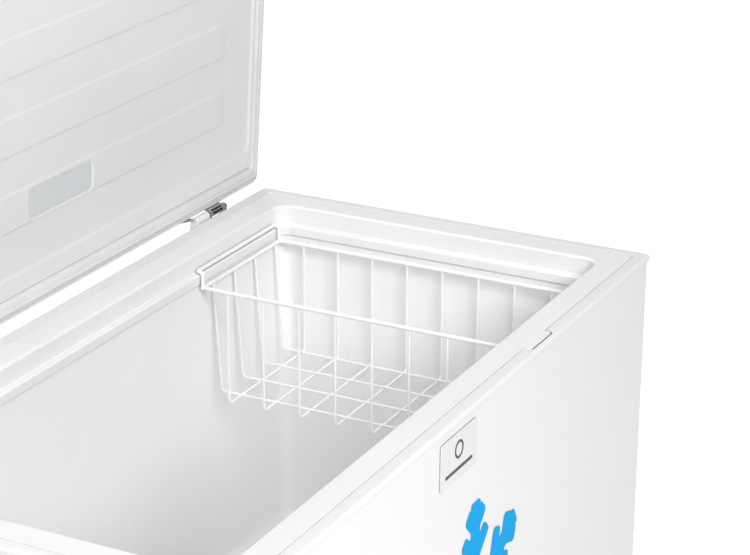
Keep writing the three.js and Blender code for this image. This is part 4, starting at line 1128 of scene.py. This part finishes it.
def stage():
    """A pale floor, a bright sky of soft light and three large lamps."""
    floor_size = 60
    mesh = bpy.data.meshes.new("floor")
    mesh.from_pydata([(x, y, 0) for x, y in ((-1, -1), (1, -1), (1, 1), (-1, 1))], [], [(0, 1, 2, 3)])
    mesh.transform(Matrix.Scale(floor_size, 4))
    floor = bpy.data.objects.new("floor", mesh)
    bpy.context.scene.collection.objects.link(floor)
    paper = plain_material("floor_paper", grey(0.9), 0.9)
    shader_of(paper).inputs["Emission Color"].default_value = (1, 1, 1, 1)
    backdrop(paper.node_tree, shader_of(paper).inputs["Emission Strength"], 0.1, 0.8)
    mesh.materials.append(paper)
    world = bpy.data.worlds.new("studio")
    bpy.context.scene.world = world
    world.use_nodes = True
    sky = world.node_tree.nodes["Background"]
    sky.inputs["Color"].default_value = (1, 1, 1, 1)
    backdrop(world.node_tree, sky.inputs["Strength"], 0.14, 1)
    aim = Vector((0, 0, 0.6))
    for name, place, size, power in (
        ("key", (-2.4, -2.6, 3.0), 2.2, 178),
        ("top", (0.4, 0.2, 4.2), 3.2, 44),
        ("rear", (2.6, 2.6, 2.8), 2.0, 30),
    ):
        light = bpy.data.lights.new(name, "AREA")
        light.shape = "DISK"
        light.size = size
        light.energy = power
        lamp = bpy.data.objects.new(name, light)
        lamp.location = place
        lamp.rotation_euler = (aim - Vector(place)).to_track_quat("-Z", "Y").to_euler()
        bpy.context.scene.collection.objects.link(lamp)


def camera():
    """The view from the front left, above the rim, looking down into the open tank."""
    yaw, pitch, roll = (radians(a) for a in (27.121, 20.894, 0.26))
    place = Vector((-2.2699, -1.3528, RIM_TOP * MM + 1.103))
    turn = (Matrix.Rotation(yaw - pi / 2, 4, "Z") @ Matrix.Rotation(pi / 2 - pitch, 4, "X")
            @ Matrix.Rotation(roll, 4, "Z"))
    data = bpy.data.cameras.new("camera")
    data.lens = 112.57
    data.sensor_width = 36
    data.clip_start, data.clip_end = 0.05, 200
    view = bpy.data.objects.new("camera", data)
    view.matrix_world = Matrix.Translation(place) @ turn
    bpy.context.scene.collection.objects.link(view)
    bpy.context.scene.camera = view
    bpy.context.scene.view_settings.view_transform = "Standard"


# ------ the freezer

camera()
stage()
rim_cap()
rim_collar()
tank()
lid_skin()
lid_panel()
lid_seal()
lamp_lens()
basket()
badge()
crystal()
controls()
drain_parts()
panel_screws()

ENDS = (("left", -1), ("right", 1))
for end, sign in ENDS:
    hinge_knuckle(end, sign)
    spring_cover(end, sign)
    for side in ("front", "rear"):
        wheel(side, end)

dress(PAINT, "front_panel", "side_panel_left", "side_panel_right", "back_panel", edge=0.3)
dress(ZINC, "base_pan", "bay_partition", "rear_cover", "compressor_tray", edge=0.3)
dress(FOAM, "cabinet_foam", "lid_foam", edge=0)
dress(WHITE, "side_vent", "lid_handle", edge=0.6)
dress(ENAMEL, "compressor", edge=0.5)
dress(BLACK_PLASTIC, "starter_cover", "cord_gland", "thermostat", edge=0.5)
dress(COPPER, "discharge_line", "suction_line", "filter_drier", "condenser_coil", "evaporator_coil",
      edge=0)
dress(GREY_PLASTIC, "drain_pipe", "control_bezel", edge=0.5)
dress(RUBBER, "drain_plug", edge=0.5)
dress(BULB, "lamp_bulb", edge=0)
dress(STEEL, "lock_housing", "lock_barrel", "lock_cam", edge=0.3)
for end, _ in ENDS:
    dress(STEEL, f"hinge_bracket_{end}", edge=0.3)
    # the pins are near black: painted shade seen through the knuckle's windows
    dress(PIN_SHADE_STEEL, f"hinge_pin_{end}", edge=0.3)
    dress(SPRING_WIRE, f"hinge_spring_{end}", edge=0)
    for side in ("front", "rear"):
        dress(ZINC, f"caster_bracket_{side}_{end}", edge=0.3)
